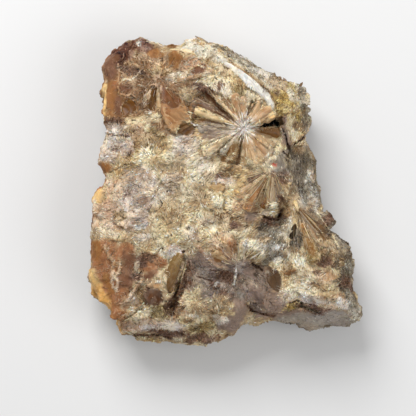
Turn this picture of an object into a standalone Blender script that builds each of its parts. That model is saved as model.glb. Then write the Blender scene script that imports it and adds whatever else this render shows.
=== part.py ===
"""Daisy gypsum specimen: one broken piece of brown, cream and grey gypsum, lying on its flat back.

+X is to the right and +Y to the top of the crystal face, which looks up along +Z. The origin is
under the middle of the specimen, on the surface it rests on. Tables are in millimetres.
"""

import math

import bmesh
import bpy
import numpy as np
from mathutils import Matrix, Vector, noise

MM = 0.001

# Driving dimensions, in millimetres.
WIDTH = 57.6
LENGTH = 66.0
TOP = 20.0  # level of the crystal face before it takes its relief
BELT = 8.5  # level at which the specimen is widest

VOXEL = 0.9  # grain of the mass before it is thinned out
MASS_TRIANGLES = 3400
STRAY_BLADES = 62
LUMP_CORNERS = 14
REACH = 3.0  # how deep a crystal is rooted in the mass
HEART = 1.3  # radius of the sugary middle of a daisy, where its petals start

# The broken outline at its widest, clockwise from the top left corner: (x, y).
OUTLINE = [
    (-25.2, 27.7), (-23.7, 29.8), (-21.2, 31.5), (-18.3, 32.7), (-15.3, 31.7), (-12.6, 31.1),
    (-10.3, 30.9), (-8.2, 31.9), (-6.5, 33.2), (-3.8, 31.7), (-0.8, 30.7), (3.1, 29.2),
    (7.3, 26.0), (11.8, 23.9), (16.0, 22.5), (17.6, 19.9), (16.8, 17.4), (17.8, 14.3),
    (17.2, 11.5), (18.5, 8.0), (18.7, 3.4), (19.5, 1.1), (19.9, -2.9), (22.0, -8.0),
    (26.2, -11.5), (26.9, -16.2), (27.5, -21.2), (28.8, -24.8), (27.7, -27.5), (23.1, -28.3),
    (19.1, -29.4), (15.8, -28.6), (13.2, -27.9), (9.9, -27.3), (6.9, -26.9), (5.0, -27.9),
    (3.1, -29.0), (-0.4, -31.3), (-4.4, -32.5), (-7.8, -32.8), (-11.1, -32.1), (-15.8, -31.3),
    (-19.5, -30.9), (-22.1, -30.2), (-22.9, -27.5), (-24.6, -24.4), (-27.1, -20.8),
    (-28.8, -17.8), (-28.1, -13.9), (-28.1, -9.2), (-28.3, -4.8), (-27.9, -0.2), (-26.2, 1.1),
    (-25.8, 3.4), (-26.7, 6.5), (-25.4, 10.7), (-25.0, 13.4), (-25.6, 14.3), (-25.4, 18.7),
    (-25.4, 22.9), (-24.8, 23.7), (-26.0, 26.9),
]

# Rings of the rough block, bottom to top: (share of the outline, shift to +X, level).
RINGS = [(0.80, 1.8, 0.0), (0.91, 0.9, 3.0), (0.98, 0.2, 6.0), (1.0, 0.0, BELT), (0.985, 0.0, TOP)]

# Levels of the crystal face at its edge and inside it: (x, y, z).
EDGE_LEVELS = [
    (-25.2, 27.7, 15.0), (-21.2, 31.5, 14.8), (-15.8, 31.5, 16.3), (-10.3, 30.7, 17.0),
    (-3.8, 31.5, 17.5), (3.1, 29.0, 17.0), (11.5, 23.9, 16.3), (17.2, 19.9, 14.6),
    (17.6, 14.3, 12.5), (18.5, 7.8, 11.5), (19.3, 0.4, 12.0), (22.1, -6.3, 12.5),
    (26.5, -12.2, 13.0), (27.5, -20.6, 12.5), (28.3, -25.2, 11.5), (23.1, -28.3, 9.8),
    (15.8, -28.6, 9.6), (6.9, -26.9, 10.5), (3.1, -29.0, 10.5), (-4.4, -32.5, 10.0),
    (-13.7, -31.7, 10.5), (-21.6, -30.2, 11.0), (-24.6, -24.4, 13.5), (-28.3, -17.4, 14.8),
    (-28.1, -9.2, 16.0), (-27.9, -0.6, 16.5), (-25.8, 3.4, 16.8), (-25.4, 10.7, 17.0),
    (-25.4, 18.7, 16.5), (-25.8, 25.6, 15.4),
]
FACE_LEVELS = [
    (-21.0, 27.3, 15.0), (-15.8, 25.6, 19.0), (-8.4, 27.3, 19.5), (-2.1, 26.7, 20.0),
    (5.2, 22.5, 21.5), (12.6, 20.4, 19.5), (14.7, 15.1, 18.0), (3.8, 13.2, 22.0),
    (-2.1, 19.3, 20.5), (-5.2, 15.1, 20.0), (9.4, 10.9, 20.0), (12.6, 8.8, 18.5),
    (15.8, 6.7, 14.5), (-13.7, 19.3, 20.0), (-9.4, 14.1, 20.5), (-19.9, 19.3, 18.0),
    (-22.1, 10.9, 18.5), (-15.8, 6.7, 20.5), (-5.2, 6.7, 21.0), (3.1, 2.5, 21.0),
    (9.4, 4.6, 20.5), (-19.9, -1.7, 19.5), (-11.5, -3.8, 21.0), (-2.1, -4.8, 21.5),
    (5.2, -4.8, 20.0), (9.4, -2.3, 19.5), (13.7, -4.8, 17.5), (15.8, -1.7, 15.5),
    (0.0, -11.1, 22.0), (7.3, -10.1, 20.0), (-7.3, -11.1, 20.5), (-22.1, -10.1, 18.5),
    (-24.1, -18.5, 16.0), (-15.8, -17.4, 17.5), (-10.5, -16.4, 18.0), (-5.2, -17.4, 17.0),
    (2.1, -19.1, 16.0), (7.3, -17.4, 16.5), (10.5, -23.3, 17.0), (-5.2, -24.8, 16.0),
    (3.1, -24.8, 15.5), (-15.8, -24.8, 16.0), (-11.5, -29.0, 13.5), (-2.1, -29.0, 12.5),
    (18.9, -11.1, 18.5), (22.1, -10.1, 16.5), (15.8, -16.4, 18.0), (21.0, -19.5, 18.0),
    (25.2, -22.7, 15.0), (15.8, -23.7, 16.0), (11.5, -25.2, 14.0),
]

# Shallow chips out of the flat back: (x, y, radius, depth).
BACK_CHIPS = [(-16.0, 18.0, 7.0, 1.6), (9.0, 6.0, 5.5, 1.1), (-9.0, -17.0, 6.5, 1.5), (16.0, -15.0, 5.0, 1.3)]

# Each daisy: its centre, then its petals as (bearing, length, spread, rise, roll). Bearings, spreads
# and rolls are in degrees. Rise is how far a petal stands above the face, and a negative one is the
# depth of the gap that a lost petal left.
DAISIES = {
    "main": ((3.9, 13.1), [
        (36, 7.2, 30, 1.0, -14), (-8, 7.7, 20, -1.1, 8), (-26, 7.8, 18, 0.5, -10),
        (-47, 7.6, 22, 0.6, 12), (-72, 8.2, 22, 0.6, -12), (-102, 7.8, 9, -1.0, 0),
        (-118, 7.6, 18, 0.4, 14), (-133, 7.4, 9, 0.7, 0), (-150, 9.8, 18, 0.9, -14),
        (-171, 9.4, 15, 0.2, 8), (173, 8.6, 10, 0.5, -6), (161, 10.8, 13, 0.7, -10),
        (146, 12.2, 15, -0.8, 12), (132, 8.2, 12, 0.7, -8), (117, 8.4, 15, 0.4, 12),
        (98, 7.8, 20, 0.6, -10), (62, 7.2, 18, 0.6, 10),
    ]),
    "upper_left": ((-14.1, 23.5), [
        (-63, 11.6, 26, 1.1, -12), (-84, 8.0, 9, 0.7, 0), (-101, 7.0, 14, -0.7, 8),
        (-120, 6.6, 14, 0.5, 8), (-145, 6.2, 16, 0.5, -10), (-30, 6.4, 18, 0.4, 10),
    ]),
    "right": ((9.9, 4.8), [
        (-46, 5.4, 20, 0.5, 10), (-70, 6.4, 14, 0.5, -10), (-90, 7.6, 13, 0.6, 8),
        (-108, 9.2, 13, 0.5, -12), (-124, 10.2, 12, 0.6, 10), (-139, 9.6, 13, 0.5, -10),
        (-158, 6.8, 14, 0.4, 8),
    ]),
    "lower": ((2.3, -16.0), [
        (164, 5.6, 18, 0.5, -10), (143, 6.2, 18, 0.7, 12), (122, 6.4, 18, 0.7, -12),
        (101, 6.2, 16, 0.6, 10), (78, 6.0, 14, 0.7, -8), (60, 6.6, 14, 0.6, 8),
        (41, 7.4, 18, 0.6, -10),
    ]),
    "edge": ((14.2, -2.4), [
        (-42, 9.4, 12, 0.5, 12), (-56, 12.4, 12, 0.6, -12), (-69, 13.6, 12, 0.8, 10),
        (-84, 7.4, 12, 0.4, -8),
    ]),
}

# Large cleavage plates outside the daisies, in the same terms, each from its own root: (x, y), petal.
PLATES = [
    ((-23.2, 25.2), (-91, 10.4, 18, 0.6, -8)), ((-19.4, 29.0), (-14, 10.6, 24, 0.8, 6)),
    ((-24.2, -5.6), (-93, 12.8, 24, 0.6, -8)), ((-17.4, -8.8), (-113, 15.6, 22, 0.8, 12)),
    ((-9.0, -12.0), (-107, 11.0, 19, 1.1, -16)), ((-13.0, -17.2), (-128, 11.4, 24, 0.7, 12)),
    ((-25.4, -16.0), (-66, 12.0, 16, 0.5, -8)), ((8.4, -15.2), (-66, 6.2, 30, 0.5, -14)),
]

# Ridge of the white vein, as the ends of its stretches, and how far it stands up.
VEIN = [(-6.6, 30.4), (-1.6, 28.6), (3.4, 25.4), (6.4, 22.4), (8.8, 19.4), (10.4, 16.6)]
VEIN_HALF_WIDTH, VEIN_RISE = 0.9, 0.9

# Lumps: (x, y, how far the middle is above the face, half length, half width, half height, bearing).
LUMPS = [
    (21.0, -5.6, -1.4, 2.7, 2.0, 2.2, -55), (10.3, -2.3, 0.1, 1.7, 1.1, 1.2, 75),
    (10.7, -23.1, -0.3, 3.2, 2.4, 1.9, -12), (16.4, 20.4, -1.0, 2.6, 2.0, 2.2, -50),
    (14.8, 11.2, -0.4, 2.4, 1.5, 1.4, -60), (-18.0, 6.8, -0.6, 2.4, 1.3, 1.3, 35),
    (-3.0, -6.0, -0.8, 2.6, 1.9, 1.5, 20), (6.6, -11.0, -0.5, 2.4, 1.8, 1.4, 10),
    (1.0, 3.0, -0.6, 2.2, 1.4, 1.3, 15), (-1.8, -12.2, -0.6, 2.2, 1.8, 1.5, 0),
    (19.4, -21.4, -0.4, 3.2, 1.7, 1.5, -8), (23.0, -22.4, -0.5, 2.2, 1.5, 1.4, -20),
    (-10.0, -4.4, -0.8, 3.0, 1.9, 1.4, 40), (-21.4, 28.6, -0.6, 2.2, 1.7, 1.6, 40),
    (-11.4, 7.0, -0.7, 2.4, 1.6, 1.3, -30), (-22.4, 0.6, -0.9, 2.6, 1.9, 1.5, 60),
]

# Gaps and cracks cut into the face, as petals are: (x, y), (bearing, length, spread, rise, roll).
GAPS = [
    ((5.2, 13.4), (13, 7.4, 15, -2.6, 0)), ((5.0, 15.2), (74, 3.2, 9, -1.2, 0)),
    ((10.8, 14.6), (-66, 6.8, 6, -1.6, 0)), ((9.6, -2.2), (-62, 3.6, 24, -1.8, 0)),
    ((-8.0, -12.4), (-106, 13.0, 5, -1.6, 0)), ((22.0, -19.8), (-12, 5.4, 22, -2.6, 0)),
    ((15.2, -4.8), (-108, 5.4, 16, -1.5, 0)),
]


def clear_scene():
    for old in list(bpy.data.objects):
        bpy.data.objects.remove(old)


def face_surface(levels):
    """A thin plate bent through the given levels: a function of (n, 2) points that returns n levels."""
    known = np.array(levels)
    sites, heights = known[:, :2], known[:, 2]

    def bending(a, b):
        square = ((a[:, None] - b[None]) ** 2).sum(-1)
        return square * np.log(square + 1e-9) / 2

    def plane(a):
        return np.column_stack([np.ones(len(a)), a])

    size = len(sites)
    system = np.zeros((size + 3, size + 3))
    system[:size, :size] = bending(sites, sites)
    system[:size, size:] = plane(sites)
    system[size:, :size] = plane(sites).T
    weights = np.linalg.solve(system, np.append(heights, np.zeros(3)))

    def level(points):
        points = np.atleast_2d(np.asarray(points, float))
        return bending(points, sites) @ weights[:size] + plane(points) @ weights[size:]

    return level


face_level = face_surface(EDGE_LEVELS + FACE_LEVELS)


def rough_block():
    """The outline stacked in rings, closed at the bottom and the top."""
    bm = bmesh.new()
    rings = []
    for share, shift, z in RINGS:
        rings.append([bm.verts.new((x * share + shift, y * share, z)) for x, y in OUTLINE])
    count = len(OUTLINE)
    for low, high in zip(rings, rings[1:]):
        for i in range(count):
            j = (i + 1) % count
            bm.faces.new((low[j], low[i], high[i], high[j]))
    bm.faces.new(rings[0])
    bm.faces.new(reversed(rings[-1]))
    return bm


def mesh_object(name, bm):
    """A new object holding bm, whose coordinates are in millimetres."""
    bmesh.ops.recalc_face_normals(bm, faces=bm.faces)
    mesh = bpy.data.meshes.new(name)
    bm.to_mesh(mesh)
    bm.free()
    mesh.transform(Matrix.Scale(MM, 4))
    made = bpy.data.objects.new(name, mesh)
    bpy.context.scene.collection.objects.link(made)
    return made


def remeshed(obj):
    """The object's surface as an even net of small faces."""
    modifier = obj.modifiers.new("even_net", "REMESH")
    modifier.mode = "VOXEL"
    modifier.voxel_size = VOXEL * MM
    graph = bpy.context.evaluated_depsgraph_get()
    mesh = bpy.data.meshes.new_from_object(obj.evaluated_get(graph))
    bpy.data.objects.remove(obj)
    return mesh


def facet(place, size):
    """How far broken rock stands out at a place: a tilted plane in each cell, with steps between cells."""
    spot = place / size
    middle = noise.voronoi(spot)[1][0]
    tilt = noise.cell_vector(middle * 9.7) * 2 - Vector((1, 1, 1))
    return size * (0.55 * tilt.dot(spot - middle) + 0.12 * tilt.z)


def back_level(x, y):
    """How high the underside is: 0 on the flat that the specimen rests on."""
    level = 0.0
    for cx, cy, radius, depth in BACK_CHIPS:
        near = 1 - math.hypot(x - cx, y - cy) / radius
        level = max(level, depth * min(1.0, 2 * near))
    return level


def bend_to_levels(mesh):
    """Bends the block's top to the crystal face, and its bottom to the chipped back."""
    points = np.array([vertex.co for vertex in mesh.vertices]) / MM
    levels = face_level(points[:, :2])
    for vertex, (x, y, z), level in zip(mesh.vertices, points.tolist(), levels.tolist()):
        if z > BELT:
            share = (z - BELT) / (TOP - BELT)
            z = BELT + max(level - BELT, 0.6) * share
        else:
            share = 1.0 if z < 0.25 else (BELT - z) / BELT
            z = BELT - (BELT - back_level(x, y)) * share
        vertex.co = Vector((x, y, z)) * MM


def break_surface(mesh):
    """Breaks the mass into facets, most below the belt, and none on the flat that it rests on."""
    moves = []
    for vertex, normal in zip(mesh.vertices, mesh.vertex_normals):
        place = vertex.co / MM
        outward = normal.vector.copy()
        shift = 0.6 * facet(place, 8.5) + 0.3 * facet(place, 3.8)
        if place.z > 0.6 * BELT:
            shift = 0.35 * shift - 0.3 if outward.z < 0.7 else 0.5 * shift
        lift = min(1.0, max(0.0, (place.z - 0.5) / 4.5))
        moves.append(place + outward * shift * lift)
    for vertex, place in zip(mesh.vertices, moves):
        vertex.co = Vector((place.x, place.y, max(place.z, 0.0))) * MM


def hull(bm, points):
    """Adds the convex solid round these points."""
    corners = [bm.verts.new(point) for point in points]
    made = bmesh.ops.convex_hull(bm, input=corners)
    spare = {item for item in made["geom_interior"] if isinstance(item, bmesh.types.BMVert)}
    bmesh.ops.delete(bm, geom=list(spare), context="VERTS")


def petal(bm, root, bearing, length, spread, rise, roll):
    """A tapered crystal from root along a bearing, or the wedge that cuts its gap if rise is below 0."""
    along = Vector((math.cos(math.radians(bearing)), math.sin(math.radians(bearing))))
    across = Vector((-along.y, along.x))
    half = length * math.tan(math.radians(spread) / 2) * (1.2 if rise > 0 else 1.0)
    first = HEART * (0.7 if rise > 0 else 1.6)
    start = Vector(root) + along * first
    end = Vector(root) + along * length
    low, high = face_level([start, end])
    outline = ((0.0, first / length + 0.05), (0.45, 0.65), (0.84, 1.0), (1.0, 0.45))
    points = []
    for share, wide in outline:
        level = low + (high - low) * share
        swell = min(1.0, 0.35 + share)
        for side in (-1, 1):
            spot = start.lerp(end, share) + across * side * half * wide
            tilt = side * half * wide * math.tan(math.radians(roll))
            if rise < 0:
                points.append((spot.x, spot.y, level + rise * swell + tilt))
                points.append((spot.x, spot.y, level + REACH))
            else:
                points.append((spot.x, spot.y, level + rise * swell + tilt))
                points.append((spot.x, spot.y, level - REACH))
    hull(bm, points)


def stray_blades(bm):
    """Small blades between the named ones, spread evenly and pointing away from the nearest daisy."""
    centres = [Vector(centre) for centre, petals in DAISIES.values()]
    for i in range(STRAY_BLADES):
        turn = i * math.pi * (3 - math.sqrt(5))
        reach = math.sqrt((i + 0.5) / STRAY_BLADES)
        spot = Vector((24.0 * reach * math.cos(turn) - 1.5, 28.0 * reach * math.sin(turn)))
        if not inside_outline(spot * 1.16):
            continue
        nearest = min(centres, key=lambda centre: (centre - spot).length)
        away = spot - nearest
        if away.length < 4.5:
            continue
        swing = 28 * noise.noise(Vector((spot.x, spot.y, 3.0)) * 0.4)
        bearing = math.degrees(math.atan2(away.y, away.x)) + swing
        petal(bm, spot, bearing, 4.4 + 1.6 * math.cos(3 * i), 30, 0.45, 14 * math.cos(2 * i))


def inside_outline(spot):
    """Whether a point lies inside the broken outline."""
    inside = False
    for (ax, ay), (bx, by) in zip(OUTLINE, OUTLINE[1:] + OUTLINE[:1]):
        if (ay > spot.y) != (by > spot.y):
            if spot.x < ax + (spot.y - ay) * (bx - ax) / (by - ay):
                inside = not inside
    return inside


def vein(bm):
    """The white vein's ridge, one short solid for each stretch."""
    for start, end in zip(VEIN, VEIN[1:]):
        a, b = Vector(start), Vector(end)
        across = Vector((a.y - b.y, b.x - a.x)).normalized() * VEIN_HALF_WIDTH
        points = []
        for spot, level in zip((a, b), face_level([start, end])):
            for side in (-1, 1):
                edge = spot + across * side
                points.append((edge.x, edge.y, level + 0.3))
                points.append((edge.x, edge.y, level - REACH))
            points.append((spot.x, spot.y, level + VEIN_RISE))
        hull(bm, points)


def lump(bm, x, y, above, long, wide, high, bearing):
    """An angular knob, set into the face."""
    level = face_level([(x, y)])[0] + above
    turn = Matrix.Rotation(math.radians(bearing), 4, "Z")
    place = Matrix.Translation((x, y, level)) @ turn @ Matrix.Diagonal((long, wide, high, 1))
    points = []
    for i in range(LUMP_CORNERS):
        z = 1 - 2 * (i + 0.5) / LUMP_CORNERS
        angle = i * math.pi * (3 - math.sqrt(5)) + x + y
        flat = math.sqrt(1 - z * z)
        corner = Vector((flat * math.cos(angle), flat * math.sin(angle), z))
        corner *= 1 + 0.3 * noise.noise(corner * 2.0 + Vector((x, y, 0)))
        points.append(place @ corner)
    hull(bm, points)


def crystals():
    """Everything that stands up from the face."""
    bm = bmesh.new()
    for centre, petals in DAISIES.values():
        lump(bm, *centre, -0.5, HEART, HEART, 1.2, petals[0][0])
        for one in petals:
            if one[3] > 0:
                petal(bm, centre, *one)
    for root, one in PLATES:
        petal(bm, root, *one)
    stray_blades(bm)
    vein(bm)
    for one in LUMPS:
        lump(bm, *one)
    return mesh_object("crystals", bm)


def gaps():
    """Everything that is cut into the face."""
    bm = bmesh.new()
    for centre, petals in DAISIES.values():
        for one in petals:
            if one[3] < 0:
                petal(bm, centre, *one)
    for root, one in GAPS:
        petal(bm, root, *one)
    return mesh_object("gaps", bm)


def apply_tool(target, tool, operation):
    """Joins tool to target, or cuts it out, and gives the new mesh without pockets sealed inside it."""
    modifier = target.modifiers.new(tool.name, "BOOLEAN")
    modifier.object = tool
    modifier.operation = operation
    modifier.solver = "EXACT"
    modifier.use_self = True
    graph = bpy.context.evaluated_depsgraph_get()
    bm = bmesh.new()
    bm.from_mesh(bpy.data.meshes.new_from_object(target.evaluated_get(graph)))
    skins = connected(bm)
    for skin in skins[1:]:
        bmesh.ops.delete(bm, geom=skin, context="VERTS")
    bm.to_mesh(target.data)
    bm.free()
    target.modifiers.clear()
    bpy.data.objects.remove(tool)


def connected(bm):
    """The mesh's connected sets of vertices, largest first."""
    waiting = set(bm.verts)
    sets = []
    while waiting:
        edge_of_set = [waiting.pop()]
        found = []
        while edge_of_set:
            vertex = edge_of_set.pop()
            found.append(vertex)
            for edge in vertex.link_edges:
                other = edge.other_vert(vertex)
                if other in waiting:
                    waiting.remove(other)
                    edge_of_set.append(other)
        sets.append(found)
    return sorted(sets, key=len, reverse=True)


def gypsum_material():
    material = bpy.data.materials.new("brown_gypsum")
    material.use_nodes = True
    shader = material.node_tree.nodes["Principled BSDF"]
    shader.inputs["Base Color"].default_value = (0.42, 0.29, 0.16, 1.0)
    shader.inputs["Roughness"].default_value = 0.6
    shader.inputs["Metallic"].default_value = 0.0
    return material


def thinned_mass():
    """The broken mass with its crystals still missing."""
    mass = remeshed(mesh_object("rough_block", rough_block()))
    bend_to_levels(mass)
    break_surface(mass)
    mass.calc_loop_triangles()
    specimen = bpy.data.objects.new("daisy_gypsum", mass)
    bpy.context.scene.collection.objects.link(specimen)
    thinned = specimen.modifiers.new("broken_facets", "DECIMATE")
    thinned.ratio = MASS_TRIANGLES / len(mass.loop_triangles)
    return specimen


def centre_on_origin(mesh):
    """Moves the mesh so that its box stands on the origin, with the box's middle over it."""
    points = np.array([vertex.co for vertex in mesh.vertices])
    low, high = points.min(axis=0), points.max(axis=0)
    mesh.transform(Matrix.Translation((-(low[0] + high[0]) / 2, -(low[1] + high[1]) / 2, -low[2])))


def main():
    clear_scene()
    specimen = thinned_mass()
    apply_tool(specimen, crystals(), "UNION")
    apply_tool(specimen, gaps(), "DIFFERENCE")
    centre_on_origin(specimen.data)
    specimen.data.materials.clear()
    specimen.data.materials.append(gypsum_material())


main()
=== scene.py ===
"""The looks of a daisy gypsum specimen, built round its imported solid.

The crystal face looks up along +Z. Features on it are placed in picture units: u to the right and
v down the 416 by 416 picture, UNIT millimetres each. Bearings turn from +X towards +Y, in degrees.
"""

import math
from itertools import product

import bpy
import numpy as np
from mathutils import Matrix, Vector
from mathutils.bvhtree import BVHTree
from mathutils.geometry import delaunay_2d_cdt


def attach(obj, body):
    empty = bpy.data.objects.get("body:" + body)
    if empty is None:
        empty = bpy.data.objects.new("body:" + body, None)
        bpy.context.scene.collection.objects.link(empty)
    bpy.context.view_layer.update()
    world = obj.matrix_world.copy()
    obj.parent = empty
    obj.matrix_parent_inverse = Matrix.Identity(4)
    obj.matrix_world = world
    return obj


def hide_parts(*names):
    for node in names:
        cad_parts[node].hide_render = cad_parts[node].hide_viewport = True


MM = 0.001
UNIT = 0.21  # millimetres
MIDDLE = (225.0, 191.5)  # picture place of the specimen's middle
BRIGHT = 0.98  # how much brighter than its surface colour a lit crystal looks
SHEEN = 0.02  # light that a crystal mirrors from the room
NET = 0.27  # millimetres between the mass's points
MASS_TRIANGLES = 196000
PICTURE_SIDE = 416  # picture units
SENSOR = 36.0  # millimetres
CAMERA_HEIGHT = 0.70  # metres
FACE_HEIGHT = 0.016  # metres, where one picture unit is UNIT wide
FLAKE_EDGES = 7400
FLAKES, BLADES, SPLINTERS, GRAINS = 14000, 9000, 15000, 20000
# The glints and the dark crystals are a painted highlight and a painted shadow in the crystals' colours.
GLINTS, SHADOWS = 0.08, 0.095  # shares of the small crystals that catch the light and that lie dark

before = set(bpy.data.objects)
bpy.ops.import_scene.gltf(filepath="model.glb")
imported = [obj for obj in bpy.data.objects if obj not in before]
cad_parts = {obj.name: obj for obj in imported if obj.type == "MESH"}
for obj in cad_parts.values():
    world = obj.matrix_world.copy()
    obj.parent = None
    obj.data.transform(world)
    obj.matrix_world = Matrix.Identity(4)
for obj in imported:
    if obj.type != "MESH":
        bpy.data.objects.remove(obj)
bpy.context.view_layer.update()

# ---------------------------------------------------------------- noise


def hashed(whole, seed):
    """A random number from 0 to 1 for each row of whole numbers."""
    mixed = np.full(whole.shape[0], (seed * 0x9E3779B9 + 0x7F4A7C15) & 0xFFFFFFFF, np.uint32)
    for column, factor in zip(whole.astype(np.int64).T, (0x27D4EB2D, 0x85EBCA6B, 0xC2B2AE35)):
        mixed = mixed ^ (column.astype(np.uint32) * np.uint32(factor))
        mixed = (mixed ^ (mixed >> np.uint32(15))) * np.uint32(0x2C1B3C6D)
        mixed = (mixed ^ (mixed >> np.uint32(12))) * np.uint32(0x297A2D39)
        mixed = mixed ^ (mixed >> np.uint32(15))
    return mixed / 4294967296.0


def noise(places, size, seed=0):
    """Smooth noise from -1 to 1, with bumps about size across."""
    spot = places / size
    low = np.floor(spot)
    part = spot - low
    part = part * part * (3 - 2 * part)
    total = np.zeros(len(places))
    for corner in product((0, 1), repeat=3):
        weight = np.prod(np.where(corner, part, 1 - part), axis=1)
        total += weight * hashed(low + corner, seed)
    return 2 * total - 1


def cells(places, size, seed=0):
    """Each place's cell: how much farther the next seed is, the vector from the cell's own seed
    in cells, and three random numbers of the cell."""
    spot = places / size
    base = np.floor(spot)
    count = len(places)
    first = np.full(count, 9.0)
    second = np.full(count, 9.0)
    away = np.zeros((count, 3))
    owner = np.zeros((count, 3))
    for step in product((-1, 0, 1), repeat=3):
        cell = base + step
        seed_spot = cell + np.column_stack([hashed(cell, seed + k) for k in (1, 2, 3)])
        gap = spot - seed_spot
        far = np.sqrt((gap * gap).sum(1))
        nearer = far < first
        second = np.where(nearer, first, np.minimum(second, far))
        first = np.where(nearer, far, first)
        away[nearer] = gap[nearer]
        owner[nearer] = cell[nearer]
    lot = np.column_stack([hashed(owner, seed + k) for k in (11, 12, 13)])
    return second - first, away, lot


def ramp(low, high, value):
    """0 below low, 1 above high, and smooth between them."""
    part = np.clip((value - low) / (high - low), 0, 1)
    return part * part * (3 - 2 * part)


def surface(look):
    """Surface colours, in light values, of crystals that look like the given screen colours."""
    look = np.clip(look, 0, 1)
    light = np.where(look < 0.04045, look / 12.92, ((look + 0.055) / 1.055) ** 2.4)
    return np.maximum((light - SHEEN) / BRIGHT, 0.003)


def unit_rows(vectors):
    return vectors / (np.linalg.norm(vectors, axis=1)[:, None] + 1e-9)


# ---------------------------------------------------------------- what the rock is made of

# Kinds of broken rock: colours of the glassy ground and of main, pale and dark crystals, the share
# of pale and dark ones, the ground's relief in mm, how much of it small crystals cover, and their
# length and width in mm and lift in degrees.
ROCKS = {
    "web": ((.49, .36, .25), (.56, .43, .32), (.81, .72, .62), (.38, .28, .21),
        .26, .10, .18, .55, 1.1, .20, 20),
    "sugar": ((.70, .61, .51), (.78, .70, .60), (.93, .90, .84), (.52, .43, .35),
        .36, .08, .16, .8, .90, .24, 22),
    "straw": ((.82, .74, .59), (.87, .80, .67), (.95, .92, .84), (.60, .50, .36),
        .40, .08, .18, .8, 1.0, .28, 20),
    "tan": ((.66, .56, .44), (.74, .65, .52), (.90, .85, .74), (.50, .40, .30),
        .34, .08, .16, .7, 1.0, .24, 20),
    "rose": ((.70, .61, .54), (.77, .69, .62), (.92, .89, .85), (.46, .37, .32),
        .40, .15, .12, .8, .95, .20, 20),
    "blush": ((.73, .60, .50), (.77, .65, .55), (.92, .86, .78), (.56, .41, .31),
        .32, .10, .16, .7, .75, .24, 22),
    "rust": ((.60, .42, .30), (.63, .45, .32), (.86, .75, .63), (.42, .27, .18),
        .16, .12, .12, .18, .75, .22, 16),
    "amber": ((.55, .38, .24), (.57, .40, .25), (.74, .60, .42), (.42, .28, .16),
        .14, .10, .08, .05, .9, .20, 10),
    "honey": ((.84, .69, .46), (.86, .72, .50), (.94, .85, .68), (.70, .52, .31),
        .20, .12, .08, .03, .9, .20, 10),
    "red": ((.44, .31, .24), (.47, .34, .26), (.78, .66, .56), (.34, .23, .17),
        .08, .16, .10, .10, .9, .20, 10),
    "umber": ((.39, .29, .24), (.45, .35, .30), (.62, .52, .45), (.24, .17, .13),
        .20, .24, .28, .8, .8, .26, 24),
    "clay": ((.47, .41, .37), (.53, .46, .43), (.76, .70, .64), (.25, .21, .18),
        .24, .20, .24, .70, .6, .18, 18),
    "mauve": ((.53, .46, .41), (.57, .49, .44), (.69, .61, .56), (.44, .37, .33),
        .14, .10, .10, .12, .9, .24, 8),
    "grit": ((.50, .46, .40), (.60, .56, .49), (.87, .84, .79), (.29, .26, .22),
        .26, .18, .32, .9, .5, .32, 34),
    "moss": ((.62, .51, .31), (.69, .58, .37), (.86, .79, .59), (.36, .28, .17),
        .28, .16, .28, .9, .75, .28, 26),
    "snow": ((.80, .78, .73), (.84, .82, .77), (.93, .90, .84), (.62, .55, .46),
        .40, .08, .18, .5, .70, .32, 18),
    "frost": ((.90, .83, .77), (.93, .87, .82), (.99, .97, .95), (.74, .62, .54),
        .40, .10, .18, .9, .5, .22, 30),
    "peach": ((.69, .55, .42), (.74, .61, .49), (.91, .84, .75), (.50, .38, .28),
        .30, .08, .15, .6, 1.0, .22, 18),
    "shale": ((.59, .55, .51), (.63, .59, .55), (.72, .68, .63), (.44, .40, .37),
        .14, .14, .14, .20, .8, .32, 8),
    "brown": ((.51, .41, .30), (.60, .50, .38), (.82, .74, .63), (.32, .24, .17),
        .26, .16, .24, .8, .9, .26, 22),
    "olive": ((.52, .44, .31), (.61, .53, .39), (.82, .76, .62), (.33, .26, .18),
        .26, .16, .24, .8, .9, .28, 22),
    "slate": ((.39, .34, .29), (.44, .39, .33), (.72, .67, .59), (.19, .16, .13),
        .26, .24, .26, .9, .85, .24, 26),
    "maroon": ((.34, .22, .18), (.40, .28, .24), (.66, .56, .50), (.20, .13, .10),
        .16, .26, .24, .75, .8, .22, 24),
    "glow": ((.81, .62, .37), (.83, .65, .42), (.94, .82, .62), (.70, .49, .28),
        .20, .10, .08, .03, .9, .20, 10),
    # The near-black rock below is painted shadow in the deep cracks that run down from the main daisy's
    # cavity.
    "pit": ((.19, .15, .12), (.26, .21, .17), (.40, .34, .29), (.10, .08, .06),
        .05, .30, .16, .08, .70, .20, 10),
}
ROCK_NAMES = list(ROCKS)
ROCK_COLOURS = np.array([row[:4] for row in ROCKS.values()])
ROCK_NUMBERS = np.array([row[4:] for row in ROCKS.values()])
GROUND, MAIN_SHADE, PALE, DARK = range(4)
PALE_SHARE, DARK_SHARE, ROUGH, COVER, LONG, WIDE, LIFT = range(7)

# Rocks that break smooth, and rocks with most of the fine splinters.
GLASSY = ("honey", "glow", "amber", "red")
GRAINY = ("slate", "sugar", "grit", "moss", "frost", "snow", "umber", "brown", "olive")

# How thick each kind of rock is with fine flake edges.
FLAKY = {
    "web": 1.6, "slate": 1.2, "rust": .35, "red": .2, "amber": .2, "rose": .8, "sugar": .6, "peach": .8,
    "tan": .6, "blush": .8, "brown": .6, "straw": .6, "umber": .8, "clay": 1.6, "mauve": .4, "shale": .3,
    "grit": .4, "moss": .5, "olive": .5, "frost": 1.0,
}

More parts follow.
